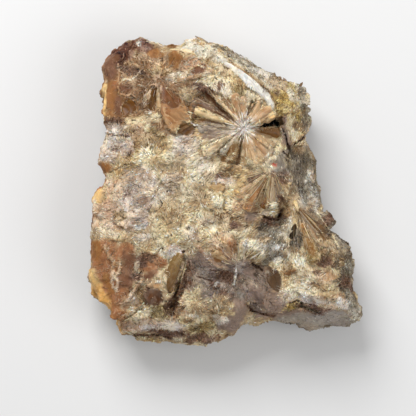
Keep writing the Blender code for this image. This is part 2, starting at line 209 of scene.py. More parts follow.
# Patches of rock on the crystal face, each over the ones before it: (u, v, half length, half width,
# bearing, rock).
PATCHES = [
    (225, 190, 220, 220, 0, "tan"),
    # the upper left corner
    (145, 95, 62, 46, 0, "web"), (120, 54, 22, 12, 35, "maroon"), (141, 46, 14, 8, -35, "maroon"),
    (110, 60, 9, 6, 40, "red"), (139, 44, 2, 4, 30, "rose"), (146, 58, 9, 4, -30, "web"),
    (156, 55, 12, 5, 0, "amber"), (175, 60, 9, 9, 0, "amber"), (150, 66, 20, 5, -10, "web"),
    (133, 71, 18, 5, -20, "umber"), (160, 72, 13, 5, 0, "brown"), (165, 68, 8, 3, 0, "brown"),
    (109, 71, 9, 12, 10, "red"), (111, 99, 8, 22, 2, "amber"), (104.5, 100, 2.5, 19, 0, "honey"),
    (118, 106, 4, 13, 0, "red"), (117, 84, 4, 6, 0, "rust"), (117, 121, 14, 4, -4, "umber"),
    (126, 87, 8, 7, 0, "red"), (140, 82, 12, 6, 0, "web"), (129, 107, 8, 8, 0, "red"),
    (152, 117, 14, 6, 0, "tan"), (135, 121, 14, 5, 0, "tan"), (120, 129, 17, 6, -5, "rose"),
    (148, 128, 14, 5, 0, "web"), (131, 130, 7, 4, 0, "brown"), (150, 128, 5, 4, 0, "tan"),
    (170, 75, 6, 4, 0, "brown"), (155, 133, 6, 5, 0, "olive"), (166, 68, 4, 4, 0, "web"),
    (191, 66, 12, 11, 50, "blush"), (183, 76, 14, 5, 12, "sugar"), (200, 70, 8, 6, 40, "red"),
    (190, 46, 12, 8, -20, "snow"), (200, 52, 12, 7, -35, "snow"), (210, 51, 8, 5, -30, "snow"),
    (213, 82, 22, 7, 12, "straw"), (205, 90, 14, 5, -20, "umber"), (240, 83, 9, 6, -40, "tan"),
    (229, 91, 9, 5, 0, "brown"), (222, 90, 12, 8, -20, "sugar"), (238, 93, 8, 6, -30, "olive"),
    (220, 86, 4, 5, 0, "umber"), (225, 68, 14, 7, -30, "tan"), (226, 76, 6, 3.5, -20, "brown"),
    (190, 95, 10, 8, 0, "tan"), (200, 125, 12, 5, -5, "olive"), (209, 129, 12, 4, -5, "shale"),
    (214, 135, 12, 4, 5, "mauve"),
    # the top right edge
    (250, 63, 44, 10, -36, "grit"), (258, 74, 30, 5, -40, "grit"), (276, 84, 12, 7, -30, "brown"),
    (283, 98, 17, 19, -20, "moss"), (277, 86, 8, 9, 0, "brown"), (293, 96, 8, 5, -50, "sugar"),
    (303, 88, 7, 8, -40, "grit"), (300, 92, 5, 6, 0, "slate"), (304, 104, 5, 8, 0, "grit"),
    (285, 108, 6, 3, -20, "olive"), (295, 120, 10, 14, -20, "moss"), (292, 132, 10, 10, -50, "straw"),
    (290, 120, 7, 6, 0, "straw"), (305, 121, 5, 14, 0, "slate"), (286, 140, 6, 16, 10, "mauve"),
    (298, 127, 6, 5, 0, "brown"), (298, 149, 11, 7, 20, "tan"), (303, 154, 6, 12, -30, "umber"),
    # the middle left
    (110, 150, 12, 16, 0, "rose"), (128, 148, 12, 10, 20, "rose"), (148, 142, 16, 7, 10, "brown"),
    (140, 160, 8, 5, 10, "straw"), (146, 155, 18, 7, 15, "straw"), (168, 152, 14, 9, 20, "straw"),
    (185, 146, 15, 12, 0, "rose"), (164, 142, 10, 8, -60, "tan"), (135, 166, 14, 6, 15, "straw"),
    (176, 165, 20, 8, 25, "tan"), (150, 170, 14, 8, 40, "tan"), (190, 166, 12, 8, 0, "straw"),
    (206, 165, 10, 8, 0, "sugar"), (210, 175, 7, 4, 0, "brown"), (199, 180, 6, 5, 0, "straw"),
    (104, 168, 7, 10, -70, "amber"), (136, 193, 26, 26, 40, "rose"), (114, 192, 9, 13, 0, "blush"),
    (130, 200, 6, 4, 10, "frost"), (96, 195, 7, 13, 5, "honey"), (97, 212, 7, 10, 0, "peach"),
    (112, 208, 12, 14, 0, "blush"), (118, 222, 26, 10, 0, "blush"), (105, 234, 18, 6, -5, "sugar"),
    (140, 227, 6, 4, 0, "snow"), (150, 218, 14, 8, 20, "rose"), (120, 215, 7, 5, 0, "brown"),
    (170, 190, 19, 14, 50, "sugar"), (187, 188, 13, 9, 20, "tan"), (194, 179, 11, 5, 0, "straw"),
    (165, 210, 18, 10, 45, "tan"), (189, 205, 12, 9, 0, "tan"), (173, 213, 4, 4, 0, "brown"),
    (196, 218, 16, 10, 20, "straw"), (160, 228, 16, 8, 30, "tan"), (176, 238, 22, 9, 42, "straw"),
    (160, 252, 16, 8, 20, "straw"), (150, 240, 12, 8, 10, "tan"), (194, 232, 10, 10, 45, "sugar"),
    (170, 247, 14, 7, -25, "straw"), (175, 250, 9, 7, 0, "frost"), (140, 238, 10, 4, 10, "sugar"),
    # the lower left
    (104, 254, 20, 17, 0, "rust"), (124, 251, 18, 8, 15, "rust"), (108, 288, 20, 46, 22, "rust"),
    (96, 252, 6, 18, 0, "amber"), (92, 280, 10, 24, 20, "honey"), (100, 300, 10, 26, 28, "glow"),
    (109, 317, 9, 20, 34, "glow"), (111, 290, 5, 22, 24, "amber"), (127, 274, 11, 27, -8, "red"),
    (122, 297, 9, 9, -20, "rust"), (120, 312, 9, 12, 30, "rust"), (150, 265, 16, 9, 20, "rust"),
    (144, 259, 13, 7, 48, "umber"), (136, 276, 9, 6, 10, "umber"), (150, 275, 11, 5, 15, "red"),
    (141, 297, 12, 12, -20, "brown"), (130, 304, 10, 8, 30, "peach"), (152, 296, 12, 10, 0, "umber"),
    (160, 312, 14, 8, 0, "olive"), (136, 316, 16, 8, 35, "straw"), (146, 326, 28, 8, -5, "blush"),
    (172, 329, 6, 4, 0, "sugar"), (150, 328, 9, 4, -5, "rose"), (165, 333, 22, 7, -8, "umber"),
    (180, 296, 12, 22, -25, "umber"), (194, 298, 14, 12, 0, "tan"), (182, 318, 14, 12, 0, "peach"),
    (196, 322, 18, 8, 0, "straw"), (208, 327, 16, 7, 10, "olive"), (205, 340, 22, 6, 8, "umber"),
    (166, 326, 14, 7, 0, "rose"), (188, 284, 9, 6, 0, "umber"), (190, 275, 5, 8, 0, "umber"),
    (178, 302, 8, 6, 20, "peach"),
    # the clay and the shelf
    (210, 272, 30, 22, 0, "clay"), (240, 282, 30, 22, 0, "clay"), (205, 260, 14, 8, -30, "mauve"),
    (228, 276, 16, 8, 0, "umber"), (206, 302, 17, 16, 0, "tan"), (212, 292, 10, 8, 0, "clay"),
    (222, 300, 8, 9, 0, "brown"), (240, 306, 9, 15, 0, "mauve"), (226, 293, 9, 6, 0, "umber"),
    (215, 285, 6, 4, 0, "umber"), (262, 283, 14, 22, 0, "mauve"), (252, 276, 16, 8, -30, "clay"),
    (250, 270, 6, 4, 0, "mauve"), (276, 304, 18, 13, 0, "mauve"), (230, 324, 16, 9, 20, "mauve"),
    (214, 316, 8, 7, 0, "brown"), (220, 320, 7, 5, 0, "rose"), (240, 295, 6, 6, 0, "shale"),
    (190, 320, 6, 3, 10, "brown"), (290, 314, 26, 6, 4, "mauve"), (320, 320, 40, 12, 0, "shale"),
    (255, 309, 10, 5, -30, "clay"),
    # the middle
    (227, 180, 11, 8, 0, "frost"), (222, 196, 20, 8, 10, "straw"), (217, 188, 8, 4.5, 0, "brown"),
    (219, 175, 5, 3, 30, "umber"), (228, 204, 18, 8, 10, "straw"), (220, 216, 7, 5, 0, "brown"),
    (232, 216, 10, 6, -20, "brown"), (208, 230, 11, 10, 0, "straw"), (205, 222, 9, 6, 0, "sugar"),
    (226, 230, 7, 4, 0, "brown"), (240, 224, 14, 8, 0, "brown"), (235, 225, 6, 4, 20, "umber"),
    (224, 248, 19, 17, 40, "blush"), (218, 254, 6, 9, 30, "amber"), (214, 250, 5, 5, 0, "brown"),
    (231, 246, 4, 7, -20, "rust"), (250, 242, 18, 13, 25, "straw"), (254, 234, 9, 6, 20, "tan"),
    (245, 246, 7, 6, 0, "frost"), (252, 212, 9, 11, 60, "mauve"), (263, 253, 16, 8, 0, "straw"),
    (243.5, 128, 13, 11, 0, "frost"), (238, 206, 8, 8, 0, "peach"), (206, 210, 8, 6, 0, "straw"),
    (232, 172, 10, 6, 0, "brown"),
    # the right
    (290, 172, 16, 26, 0, "shale"), (306, 176, 16, 34, 8, "grit"), (299, 163, 13, 16, 20, "slate"),
    (300, 150, 6, 5, 0, "brown"), (283, 190, 12, 18, 0, "umber"), (290, 190, 10, 14, 0, "tan"),
    (298, 182, 8, 8, 0, "slate"), (312, 175, 4, 8, 10, "sugar"), (313, 198, 8, 18, 20, "grit"),
    (313, 202, 5, 10, 15, "sugar"), (286, 210, 14, 12, 0, "brown"), (296, 206, 8, 12, 20, "tan"),
    (272, 222, 14, 8, 0, "umber"), (293, 228, 10, 11, 20, "umber"), (282, 232, 9, 10, 0, "sugar"),
    (294, 221, 6, 5, 0, "sugar"), (272, 238, 15, 15, 0, "grit"), (264, 227, 8, 6, 0, "slate"),
    (277, 221, 9, 4, 0, "slate"), (281, 247, 5, 3, 20, "snow"), (265, 240, 6, 5, 0, "brown"),
    (297, 239, 6, 12, 0, "slate"), (292, 256, 14, 7, -10, "brown"), (272, 260, 12, 7, 10, "grit"),
    (280, 266, 16, 6, 20, "straw"), (316, 236, 14, 34, 30, "brown"), (318, 223, 7, 13, 25, "slate"),
    (330, 219, 14, 14, 0, "slate"), (328, 220, 8, 7, 0, "umber"), (332, 250, 11, 18, 20, "brown"),
    (336, 238, 5, 12, 30, "slate"), (345, 258, 10, 22, 15, "slate"), (338, 262, 6, 14, 20, "slate"),
    (350, 268, 5, 10, 0, "grit"), (340, 262, 4, 5, 0, "brown"), (324, 262, 12, 7, -10, "umber"),
    (298, 262, 14, 8, -40, "straw"), (300, 275, 22, 9, 8, "tan"), (287, 272, 6, 8, 0, "brown"),
    (326, 276, 16, 8, -10, "peach"), (345, 286, 14, 10, -30, "slate"), (348, 284, 8, 5, -40, "umber"),
    (320, 292, 24, 8, -15, "straw"), (300, 290, 18, 9, 0, "straw"), (301, 295, 7, 4, 0, "straw"),
    (286, 296, 8, 8, 0, "sugar"), (334, 300, 16, 8, 0, "peach"), (310, 300, 14, 6, -10, "rose"),
    (290, 306, 10, 5, 20, "moss"), (316, 310, 20, 5, -14, "umber"), (352, 302, 6, 14, 15, "grit"),
    (357, 314, 6, 8, 0, "grit"), (340, 302, 4, 4, 0, "snow"), (305, 280, 7, 4, 0, "straw"),
    (311, 283, 5, 2.5, 15, "brown"), (322, 286, 9, 4, -10, "brown"), (330, 300, 6, 4, 0, "sugar"),
    (316, 272, 5, 2.5, 0, "umber"), (345, 305, 6, 5, 0, "frost"), (338, 315, 14, 4, 0, "shale"),
    (264, 213, 4, 5, 0, "sugar"), (273, 209, 6, 10, 0, "straw"),
]

# Lines across the face: (half width, how far it stands up in mm, rock, points).
LINES = [
    (4.4, 0.2, "snow", [(186, 45), (200, 50), (214, 57), (228, 63), (240, 72)]),
    (4.6, 0.5, "snow", [(238, 73), (248, 80), (257, 89), (266, 98), (270, 106)]),
    (1.8, 0.2, "brown", [(228, 62), (240, 70), (252, 78), (262, 88), (270, 98)]),
    (4.5, 0.0, "brown", [(269, 80), (276, 84), (284, 87)]),
    (2.2, 0.0, "sugar", [(260, 73), (268, 78)]),
    (1.0, -0.5, "brown", [(262, 88), (270, 95), (275, 104), (276, 112)]),
    # These near-black lines are painted shadow in the cracks below the main daisy's cavity.
    (0.7, -1.0, "pit", [(279, 124), (283, 131), (286, 137), (287, 145)]),
    (0.7, -0.9, "pit", [(282, 152), (286, 155), (289, 161)]),
    (3.2, 2.6, "mauve", [(283.5, 119.5), (284, 122.5)]),
    (1.2, -0.8, "umber", [(306, 135), (300, 141), (294, 144)]),
    (2.0, 0.25, "peach", [(180, 81), (192, 78), (204, 75), (213, 71)]),
    (1.4, -0.3, "brown", [(180, 84), (192, 82), (202, 79)]),
    (0.9, -0.5, "umber", [(108, 134), (118, 136), (130, 137)]),
    (0.8, -0.4, "brown", [(110, 173), (126, 165), (138, 164)]),
    (0.9, -0.4, "brown", [(150, 139), (147, 146), (144, 152)]),
    (1.8, 0.2, "blush", [(199, 247), (209, 259), (217, 266), (227, 268)]),
    (0.9, 0.5, "snow", [(236.5, 268), (235.5, 276), (233.8, 285)]),
    (1.0, -0.5, "umber", [(210, 270), (216, 270.5), (223, 272)]),
    (1.0, -0.5, "umber", [(198, 276.5), (206, 279), (212, 281)]),
    (0.6, 0.2, "peach", [(118, 63), (119, 72), (118.5, 82)]),
    (0.7, 0.3, "sugar", [(119, 84), (124, 79), (131, 80), (137, 76), (142, 71)]),
    (0.8, 0.3, "peach", [(118, 87), (121, 94), (127, 96), (133, 94), (135, 103)]),
    (0.6, 0.2, "sugar", [(121, 112), (122, 105), (127, 101), (132, 101), (137, 106), (136, 112), (131, 116)]),
    (0.7, 0.3, "peach", [(147, 92), (150, 86), (156, 85), (159, 90), (158, 103), (155, 113), (149, 112)]),
    (0.8, 0.4, "peach", [(161, 87), (163, 97), (161.5, 109), (167, 124), (174, 132)]),
    (0.8, 0.4, "straw", [(177, 132), (180, 126), (190, 122), (191, 113)]),
    (0.7, 0.2, "peach", [(134, 57), (142, 61), (152, 62), (161, 66), (171, 73)]),
    (0.6, 0.3, "sugar", [(183, 69), (188, 61), (194, 58), (201, 59), (205, 65)]),
    (0.7, 0.3, "straw", [(185, 78), (190, 70), (198, 66), (204, 68)]),
    (0.7, 0.3, "sugar", [(139, 85), (146, 88), (147, 98), (144, 106), (147, 114)]),
    (2.2, 0.25, "peach", [(106, 247), (109, 256), (114, 263), (112, 273), (118, 281), (116, 290)]),
    (1.2, 0.25, "peach", [(120, 261), (119, 271), (112, 280), (113, 287)]),
    (1.0, 0.5, "peach", [(120, 319), (130, 312), (141, 305)]),
    (2.6, 0.0, "rose", [(142, 329), (158, 327)]),
    (3.0, 0.0, "umber", [(191, 268), (190, 282)]),
    (1.0, -0.3, "brown", [(122, 322), (132, 315), (143, 308)]),
    (1.4, 0.6, "peach", [(129, 298), (136, 288), (143, 278)]),
    (1.4, 0.5, "tan", [(187, 262), (182, 275), (176, 288), (170, 297)]),
    (1.3, -0.7, "umber", [(184, 251), (180, 266), (175, 284)]),
    (2.4, -0.5, "umber", [(189, 262), (188, 268), (184, 284), (178, 300), (172, 315)]),
    (0.8, 0.4, "tan", [(319, 214), (326, 225), (333, 237), (339, 247)]),
    (2.4, 0.5, "mauve", [(256, 317), (270, 316), (284, 315), (300, 311)]),
    (4.0, 0.8, "straw", [(273, 204), (274, 213)]),
    (1.6, -0.8, "umber", [(246, 304), (252, 311), (262, 314), (276, 316)]),
    (1.8, -0.9, "umber", [(252, 264), (258, 267), (262, 270)]),
    (1.8, -0.8, "umber", [(263, 216), (270, 220), (278, 219), (281, 210)]),
    (1.6, -0.9, "slate", [(300, 306), (310, 309), (320, 313)]),
    (1.4, -1.0, "umber", [(290, 303), (297, 300), (302, 303)]),
    (2.2, -0.6, "umber", [(339, 285), (347, 283), (353, 291)]),
    (1.4, -0.8, "umber", [(120, 336), (140, 336), (160, 336), (172, 340)]),
]

# Screen colours of crystal plates and needles.
COLOURS = {
    "honey": (.73, .61, .46), "amber": (.56, .40, .25), "deep": (.40, .27, .14), "cream": (.86, .78, .65),
    "peach": (.71, .59, .47), "orange": (.66, .51, .37), "red": (.36, .25, .19), "brown": (.46, .35, .24),
    "olive": (.53, .44, .29), "grey": (.62, .57, .50), "mauve": (.50, .43, .38), "white": (.84, .83, .80),
    # The near-black colour on the next line is painted shadow for the floor of the main daisy's cavity.
    "dark": (.34, .27, .21), "cavity_shadow": (.14, .11, .08), "gold": (.79, .67, .44), "straw": (.79, .71, .55),
    "pinkish": (.78, .69, .62), "tan": (.65, .55, .42), "sugar": (.80, .73, .63), "rust": (.54, .37, .24),
    "coral": (.66, .37, .31), "chalk": (.82, .80, .76), "frost": (.97, .92, .87), "ice": (1.0, .97, .92),
    "lens": (.45, .34, .23),
}

# Picture places that the fans of crystals run out from.
MAIN = (243.5, 129)
UPPER = (158, 80)
RIGHT = (272, 169)
LOWER = (238, 266)
EDGE = (294, 203)

# Crystal plates: (root u, root v, start, end, bearing, spread, rise mm, tilt, two colours, gloss).
# Lengths are in picture units. A plate is crossed by fine lines that run out from its root.
PLATES = [
    # the main daisy
    (*MAIN, 9, 34, 34, 34, 0.8, -0.12, "peach", "honey", .5),
    (*MAIN, 9, 38, -8, 20, -0.2, 0.08, "brown", "amber", .7),
    (*MAIN, 9, 36, -26, 19, 0.2, -0.12, "peach", "tan", .4),
    (*MAIN, 9, 38, -45, 21, 0.4, 0.12, "orange", "peach", .4),
    (*MAIN, 9, 38, -66, 22, 0.2, -0.12, "peach", "honey", .4),
    (*MAIN, 9, 37, -85, 18, 0.3, 0.12, "orange", "tan", .4),
    (*MAIN, 11, 38, -101, 9, -0.3, 0.0, "lens", "brown", .3),
    (*MAIN, 9, 38, -116, 20, 0.1, 0.12, "olive", "brown", .4),
    (*MAIN, 9, 34, -132, 12, 0.5, -0.08, "sugar", "grey", .5),
    (*MAIN, 12, 36, -140, 5, -0.7, 0.0, "mauve", "olive", .3),
    (*MAIN, 14, 48, -148, 15, 0.7, -0.12, "cream", "cream", .4),
    (*MAIN, 9, 38, -166, 20, 0.0, 0.08, "grey", "mauve", .5),
    (*MAIN, 10, 42, 177, 14, 0.2, -0.08, "grey", "mauve", .5),
    (*MAIN, 11, 52, 168, 9, -0.5, 0.0, "mauve", "lens", .3),
    (*MAIN, 12, 52, 159, 12, 0.4, -0.16, "honey", "straw", .5),
    (*MAIN, 12, 60, 149, 10, -0.4, 0.12, "red", "mauve", .5),
    (*MAIN, 11, 56, 140, 9, -0.5, 0.16, "red", "dark", .5),
    (*MAIN, 9, 40, 132, 7, 0.5, -0.08, "cream", "honey", .4),
    (*MAIN, 9, 38, 122, 13, 0.0, 0.08, "orange", "brown", .4),
    (*MAIN, 9, 36, 108, 16, 0.2, -0.08, "peach", "orange", .4),
    (*MAIN, 9, 31, 91, 18, 0.3, 0.08, "orange", "peach", .4),
    (*MAIN, 12, 30, 73, 6, -0.7, 0.0, "sugar", "dark", .4),
    (*MAIN, 9, 30, 60, 18, 0.3, 0.08, "peach", "honey", .4),
    # the upper left fan
    (*UPPER, 9, 32, -88, 10, 0.4, -0.08, "tan", "honey", .4),
    (*UPPER, 10, 24, -122, 16, 0.1, -0.12, "pinkish", "tan", .3),
    # the right fan
    (*RIGHT, 5, 28, -152, 16, -0.3, 0.12, "mauve", "red", .4),
    (*RIGHT, 7, 44, -137, 14, 0.4, -0.12, "tan", "peach", .4),
    (*RIGHT, 7, 50, -124, 12, 0.1, 0.12, "orange", "amber", .5),
    (*RIGHT, 7, 48, -112, 12, 0.3, -0.12, "tan", "brown", .4),
    (*RIGHT, 8, 40, -100, 12, 0.1, 0.12, "orange", "amber", .5),
    (*RIGHT, 8, 34, -88, 12, 0.3, -0.12, "tan", "grey", .4),
    (*RIGHT, 8, 28, -73, 16, -0.2, 0.12, "mauve", "grey", .4),
    # the lower fan
    (*LOWER, 13, 28, 150, 18, 0.2, 0.1, "orange", "tan", .4),
    (*LOWER, 11, 33, 121, 12, 0.3, -0.1, "peach", "orange", .4),
    (*LOWER, 14, 25, 98, 14, 0.1, 0.1, "rust", "brown", .4),
    (*LOWER, 8, 24, 70, 12, 0.3, -0.1, "sugar", "grey", .6),
    # the fan at the right edge
    (*EDGE, 5, 36, -38, 11, 0.1, -0.12, "brown", "dark", .4),
    (*EDGE, 6, 50, -48, 9, 0.0, 0.12, "lens", "brown", .5),
    (*EDGE, 10, 54, -57, 9, 0.3, -0.12, "mauve", "tan", .4),
    (*EDGE, 22, 64, -70, 13, 0.6, 0.12, "amber", "olive", .6),
    (*EDGE, 8, 26, -90, 18, 0.2, 0.12, "tan", "straw", .4),
]

# Free plates, and a painted shadow on the floor of the main daisy's cavity: (outline, bearing of
# their lines, rise mm, two colours, gloss).
TILES = [
    # the upper left corner
    ([(170, 49), (180, 48), (192, 51), (193, 54), (186, 54), (180, 51), (172, 51)], 0, 0.3, "straw",
      "cream", .4),
    ([(166, 46.5), (172, 44.5), (178, 46), (176, 48.5), (168, 48.5)], 0, 0.4, "amber", "deep", .4),
    ([(122, 106), (126, 100.5), (131, 99), (136, 102), (138, 108), (134, 114), (127, 117), (122, 114)],
      -60, -0.4, "deep", "deep", .5),
    ([(147, 94), (150, 88), (155, 87), (157, 91), (156, 101), (153, 111), (148.5, 109), (147, 101)], -88,
      -0.1, "deep", "lens", .6),
    ([(161.5, 104), (167, 104), (172, 109.5), (178, 107.5), (181, 101), (184, 104), (187, 109),
      (189.5, 114), (190.5, 121), (183, 122), (179, 127), (176, 132), (173, 133), (166, 124),
      (161.5, 113)], -42, 0.3, "rust", "honey", .5),
    ([(162, 86), (166, 88), (174, 95), (181.5, 101.5), (178, 108.5), (172, 110.5), (167, 105),
      (161.5, 104)], -62, 0.35, "red", "rust", .5),
    ([(177, 131), (181, 125), (187, 123), (194, 125.5), (196, 131), (193, 135), (187, 136), (180, 134.5)],
      30, -0.5, "lens", "lens", .7),
    ([(190, 122), (194, 124.5), (198, 125.3), (195, 127), (191, 124.5)], 0, 0.2, "white", "white", .6),
    ([(148.5, 113.5), (151.5, 111.5), (152, 114), (150, 115)], 0, 0.2, "white", "white", .6),
    # the white vein
    ([(221, 61), (232, 65.5), (242, 72), (248, 78), (246, 85), (238, 77), (231, 71), (222, 65)], -32, 0.3,
      "chalk", "white", .2),
    ([(243, 73), (250, 78), (258, 85), (268, 94), (272, 103), (273, 110), (270, 108), (264, 100),
      (255, 93), (247, 88), (243, 82)], -46, 0.5, "white", "chalk", .2),
    # the painted shadow in the main daisy's cavity
    ([(257, 127.6), (263, 124.6), (268, 122.2), (274, 119.6), (278.5, 121), (279.6, 127.4), (272, 127.2),
      (264, 127.8)], 10, -1.6, "cavity_shadow", "cavity_shadow", .1),
    # the middle
    ([(258, 196), (262, 194), (266, 196), (266, 203), (264, 209), (260, 207)], -80, -0.2, "amber", "deep",
      .7),
    ([(293, 202), (296, 200), (300, 207), (298, 212), (295, 208)], -70, 0.5, "gold", "cream", .8),
    ([(210, 188), (214, 185), (220, 184.5), (225, 187), (223, 191), (216, 192.5)], 0, 0.1, "olive",
      "honey", .4),
    ([(270, 165), (273, 163), (277, 164), (276, 166.5), (273, 167)], 0, 0.1, "coral", "coral", .3),
    ([(233, 190), (237, 189), (239, 194), (235, 196)], 0, 0.0, "orange", "gold", .6),
    # the right
    ([(316, 223), (319, 221), (325, 228), (330, 235), (325, 239), (318, 232)], -55, 0.2, "brown", "dark",
      .6),
    ([(284, 273), (290, 270), (296, 270), (291, 274), (286, 276)], 20, 0.2, "brown", "rust", .4),
    ([(322, 292), (330, 290), (337, 293), (330, 297), (323, 296)], 8, 0.2, "straw", "honey", .4),
    # the shelf
    ([(266, 268), (269, 266), (276, 269), (281, 275), (281, 286), (278, 292), (271, 288), (267, 281)],
      -70, 0.1, "dark", "dark", .8),
    ([(213, 286), (217, 281), (219, 282), (215, 288)], 40, 0.3, "chalk", "white", .8),
    # the lower left
    ([(176, 253), (184, 253), (183, 260), (180, 267), (177, 279), (172, 292), (168, 290), (165, 282),
      (165, 274), (169, 263)], -113, 0.4, "olive", "lens", .6),
    ([(164, 281), (163, 274), (167, 265), (171, 259), (169, 268), (167, 276), (167, 286)], -113, 0.5,
      "straw", "sugar", .5),
    ([(144, 289), (154, 288), (162, 290), (163, 300), (158, 306), (150, 304), (144, 298)], -90, 0.1,
      "mauve", "red", .5),
    ([(147, 284.5), (153, 281.5), (160, 282), (163, 286), (161, 289), (154, 288), (148, 288)], 0, 0.4,
      "peach", "honey", .5),
    ([(156, 280), (163, 281.5), (162, 284), (156, 282.5)], -20, 0.6, "white", "white", .7),
    ([(135, 263), (139, 260), (140, 265), (137, 271), (134, 268)], 60, 0.2, "sugar", "grey", .4),
]

# Crystals that stand out past the outline: (root u, root v, tip u, tip v, width mm, colour).
SPIKES = [
    (207, 42, 195, 34.5, 0.8, "grey"), (203, 40, 197, 36, 0.5, "olive"), (287, 81, 284, 76.5, 0.6, "mauve"),
    (180, 48, 186, 42, 0.5, "straw"), (300, 86, 303, 82, 0.6, "brown"),
]

# Fine needles that run out from a root: (root u, root v, how many, start, end, colours).
NEEDLES = [
    (*MAIN, 40, 1, 9, ("ice", "ice", "frost")),
    (*MAIN, 70, 4, 19, ("ice", "ice", "frost", "cream")),
    (*MAIN, 16, 14, 36, ("cream", "straw", "brown")),
    (*UPPER, 3, 6, 26, ("cream", "pinkish", "tan")),
    (*RIGHT, 36, 5, 40, ("cream", "straw", "tan", "brown")),
    (*LOWER, 12, 7, 30, ("white", "cream", "orange")),
    (*EDGE, 26, 8, 54, ("cream", "tan", "grey")),
]

NEEDLE_SECTORS = {UPPER: (-125, -30), RIGHT: (-165, -60), LOWER: (30, 175), EDGE: (-95, -35)}

DEEP_ROOTS = [(*MAIN, 62), (*UPPER, 28), (*RIGHT, 50), (*LOWER, 38), (*EDGE, 64)]
PLAIN_RIMS = ("white", "chalk", "cavity_shadow")  # free plates of these colours have no flaky rim

ROOT_DEPTH = 1.5  # millimetres below the face
ROSETTE = 4.6  # millimetres

# Small shifts of the rim: (u, v, reach, shift in u, shift in v), in picture units.
SHIFTS = [
    (98, 92, 30, -3.5, 0), (97, 162, 11, -3, 0), (90, 288, 20, -4, 1), (108, 322, 14, -3, 2),
    (103, 304, 12, -5.5, 2.5), (98, 298, 9, -4.5, 1), (308, 98, 16, -5, 0), (362, 316, 14, 4, -1),
    (331, 210, 9, 0, 4.5),
]


def picture(places):
    """Picture places of points in millimetres."""
    return np.column_stack([MIDDLE[0] + places[:, 0] / UNIT, MIDDLE[1] - places[:, 1] / UNIT])


def in_mm(u, v):
    return (u - MIDDLE[0]) * UNIT, (MIDDLE[1] - v) * UNIT


def is_one_of(kind, names):
    """Whether each kind is one of the named rocks."""
    return np.isin(kind, [ROCK_NAMES.index(name) for name in names])


def patch_share(uv, wobble, u, v, long, wide, bearing):
    """How far inside a patch a place is, from 0 at its edge to 1 at its middle."""
    turn = math.radians(bearing)
    du, dv = uv[:, 0] - u, v - uv[:, 1]
    along = (du * math.cos(turn) + dv * math.sin(turn)) / long
    across = (dv * math.cos(turn) - du * math.sin(turn)) / wide
    return 1 - np.hypot(along, across) + wobble * min(1.0, 8.0 / min(long, wide))


def line_gap(uv, points):
    """Distance from each place to a line of points."""
    nearest = np.full(len(uv), 1e9)
    for start, end in zip(points, points[1:]):
        a, b = np.array(start, float), np.array(end, float)
        part = np.clip(((uv - a) @ (b - a)) / ((b - a) @ (b - a)), 0, 1)
        nearest = np.minimum(nearest, np.hypot(*(uv - a - part[:, None] * (b - a)).T))
    return nearest


def inside(uv, outline):
    """Distance of each place inside an outline, negative outside it."""
    crossed = np.zeros(len(uv), bool)
    for (au, av), (bu, bv) in zip(outline, outline[1:] + outline[:1]):
        if av != bv:
            reach = au + (uv[:, 1] - av) * (bu - au) / (bv - av)
            crossed ^= ((av > uv[:, 1]) != (bv > uv[:, 1])) & (uv[:, 0] < reach)
    gap = line_gap(uv, outline + outline[:1])
    return np.where(crossed, gap, -gap)


# ---------------------------------------------------------------- how the crystals run


def crystal_roots(places, front):
    """For each place, the vector from the root that its crystals run out from."""
    uneven = np.column_stack([noise(places, 2.4, 80 + k) for k in range(3)])
    away = cells(places + 0.8 * uneven, ROSETTE, 83)[1] * ROSETTE
    reach = 1 + 0.25 * noise(places, 3.0, 87)
    for u, v, far in DEEP_ROOTS:
        x, y = in_mm(u, v)
        from_root = np.column_stack([places[:, 0] - x, places[:, 1] - y, np.full(len(places), ROOT_DEPTH)])
        near = (np.hypot(from_root[:, 0], from_root[:, 1]) < far * UNIT * reach) & (front > 0.5)
        away[near] = from_root[near]
    return away


def lumps(places):
    """Swellings and hollows a few millimetres across, from -1 to 1."""
    return 0.55 * noise(places, 3.0, 90) + 0.30 * noise(places, 1.5, 91) + 0.15 * noise(places, 0.8, 92)


def tones(places):
    """How light and how warm the crystals are, in nests a few millimetres across."""
    light = 0.6 * noise(places, 2.8, 101) + 0.4 * noise(places, 1.3, 102)
    warm = 0.7 * noise(places, 3.2, 103) + 0.3 * noise(places, 1.4, 104)
    return light, warm


def shaded(kind, start, light, warm, amount):
    """The start colour with the pale and dark crystals of its kind of rock, warm or cool."""
    numbers = ROCK_NUMBERS[kind]
    amount = amount * (0.4 + 0.6 * ramp(0.1, 0.5, numbers[:, COVER]))
    pale = ramp(-0.10, 0.10, light - 0.30 * (1.75 - 3.9 * numbers[:, PALE_SHARE]))
    dark = ramp(-0.10, 0.10, -light - 0.30 * (1.75 - 3.9 * numbers[:, DARK_SHARE]))
    colour = start + (ROCK_COLOURS[kind, PALE] - start) * (amount * pale)[:, None]
    colour += (ROCK_COLOURS[kind, DARK] - colour) * (amount * dark)[:, None]
    return colour * (1 + (0.13 * (warm + 0.25) * amount)[:, None] * np.array((0.4, 0.0, -1.0)))


def blades_at(away, per_turn, seed):
    """Splits the crystals that run out from a root into blades."""
    length = np.linalg.norm(away, axis=1)
    way = away / (length[:, None] + 1e-9)
    ring = np.floor(1.7 * np.log2(length + 0.5) + 0.6 * noise(way, 0.3, seed + 5))
    return cells(way * per_turn + ring[:, None] * (5.3, 9.1, 3.7), 1.0, seed)


# ---------------------------------------------------------------- the crystal face


def face_rocks(uv, flat, edge=0.30):
    """The kind of rock at each place of the crystal face, and its ground colour with soft borders."""
    wobble = 0.30 * noise(flat, 2.6, 5) + 0.32 * noise(flat, 1.0, 6) + 0.16 * noise(flat, 0.5, 7)
    kind = np.zeros(len(uv), int)
    ground = np.zeros((len(uv), 3))
    for u, v, long, wide, bearing, rock in PATCHES:
        share = patch_share(uv, wobble, u, v, long, wide, bearing)
        index = ROCK_NAMES.index(rock)
        kind[share > 0] = index
        soft = ramp(-0.08, edge, share)[:, None]
        ground += (ROCK_COLOURS[index, GROUND] - ground) * soft
    return kind, ground


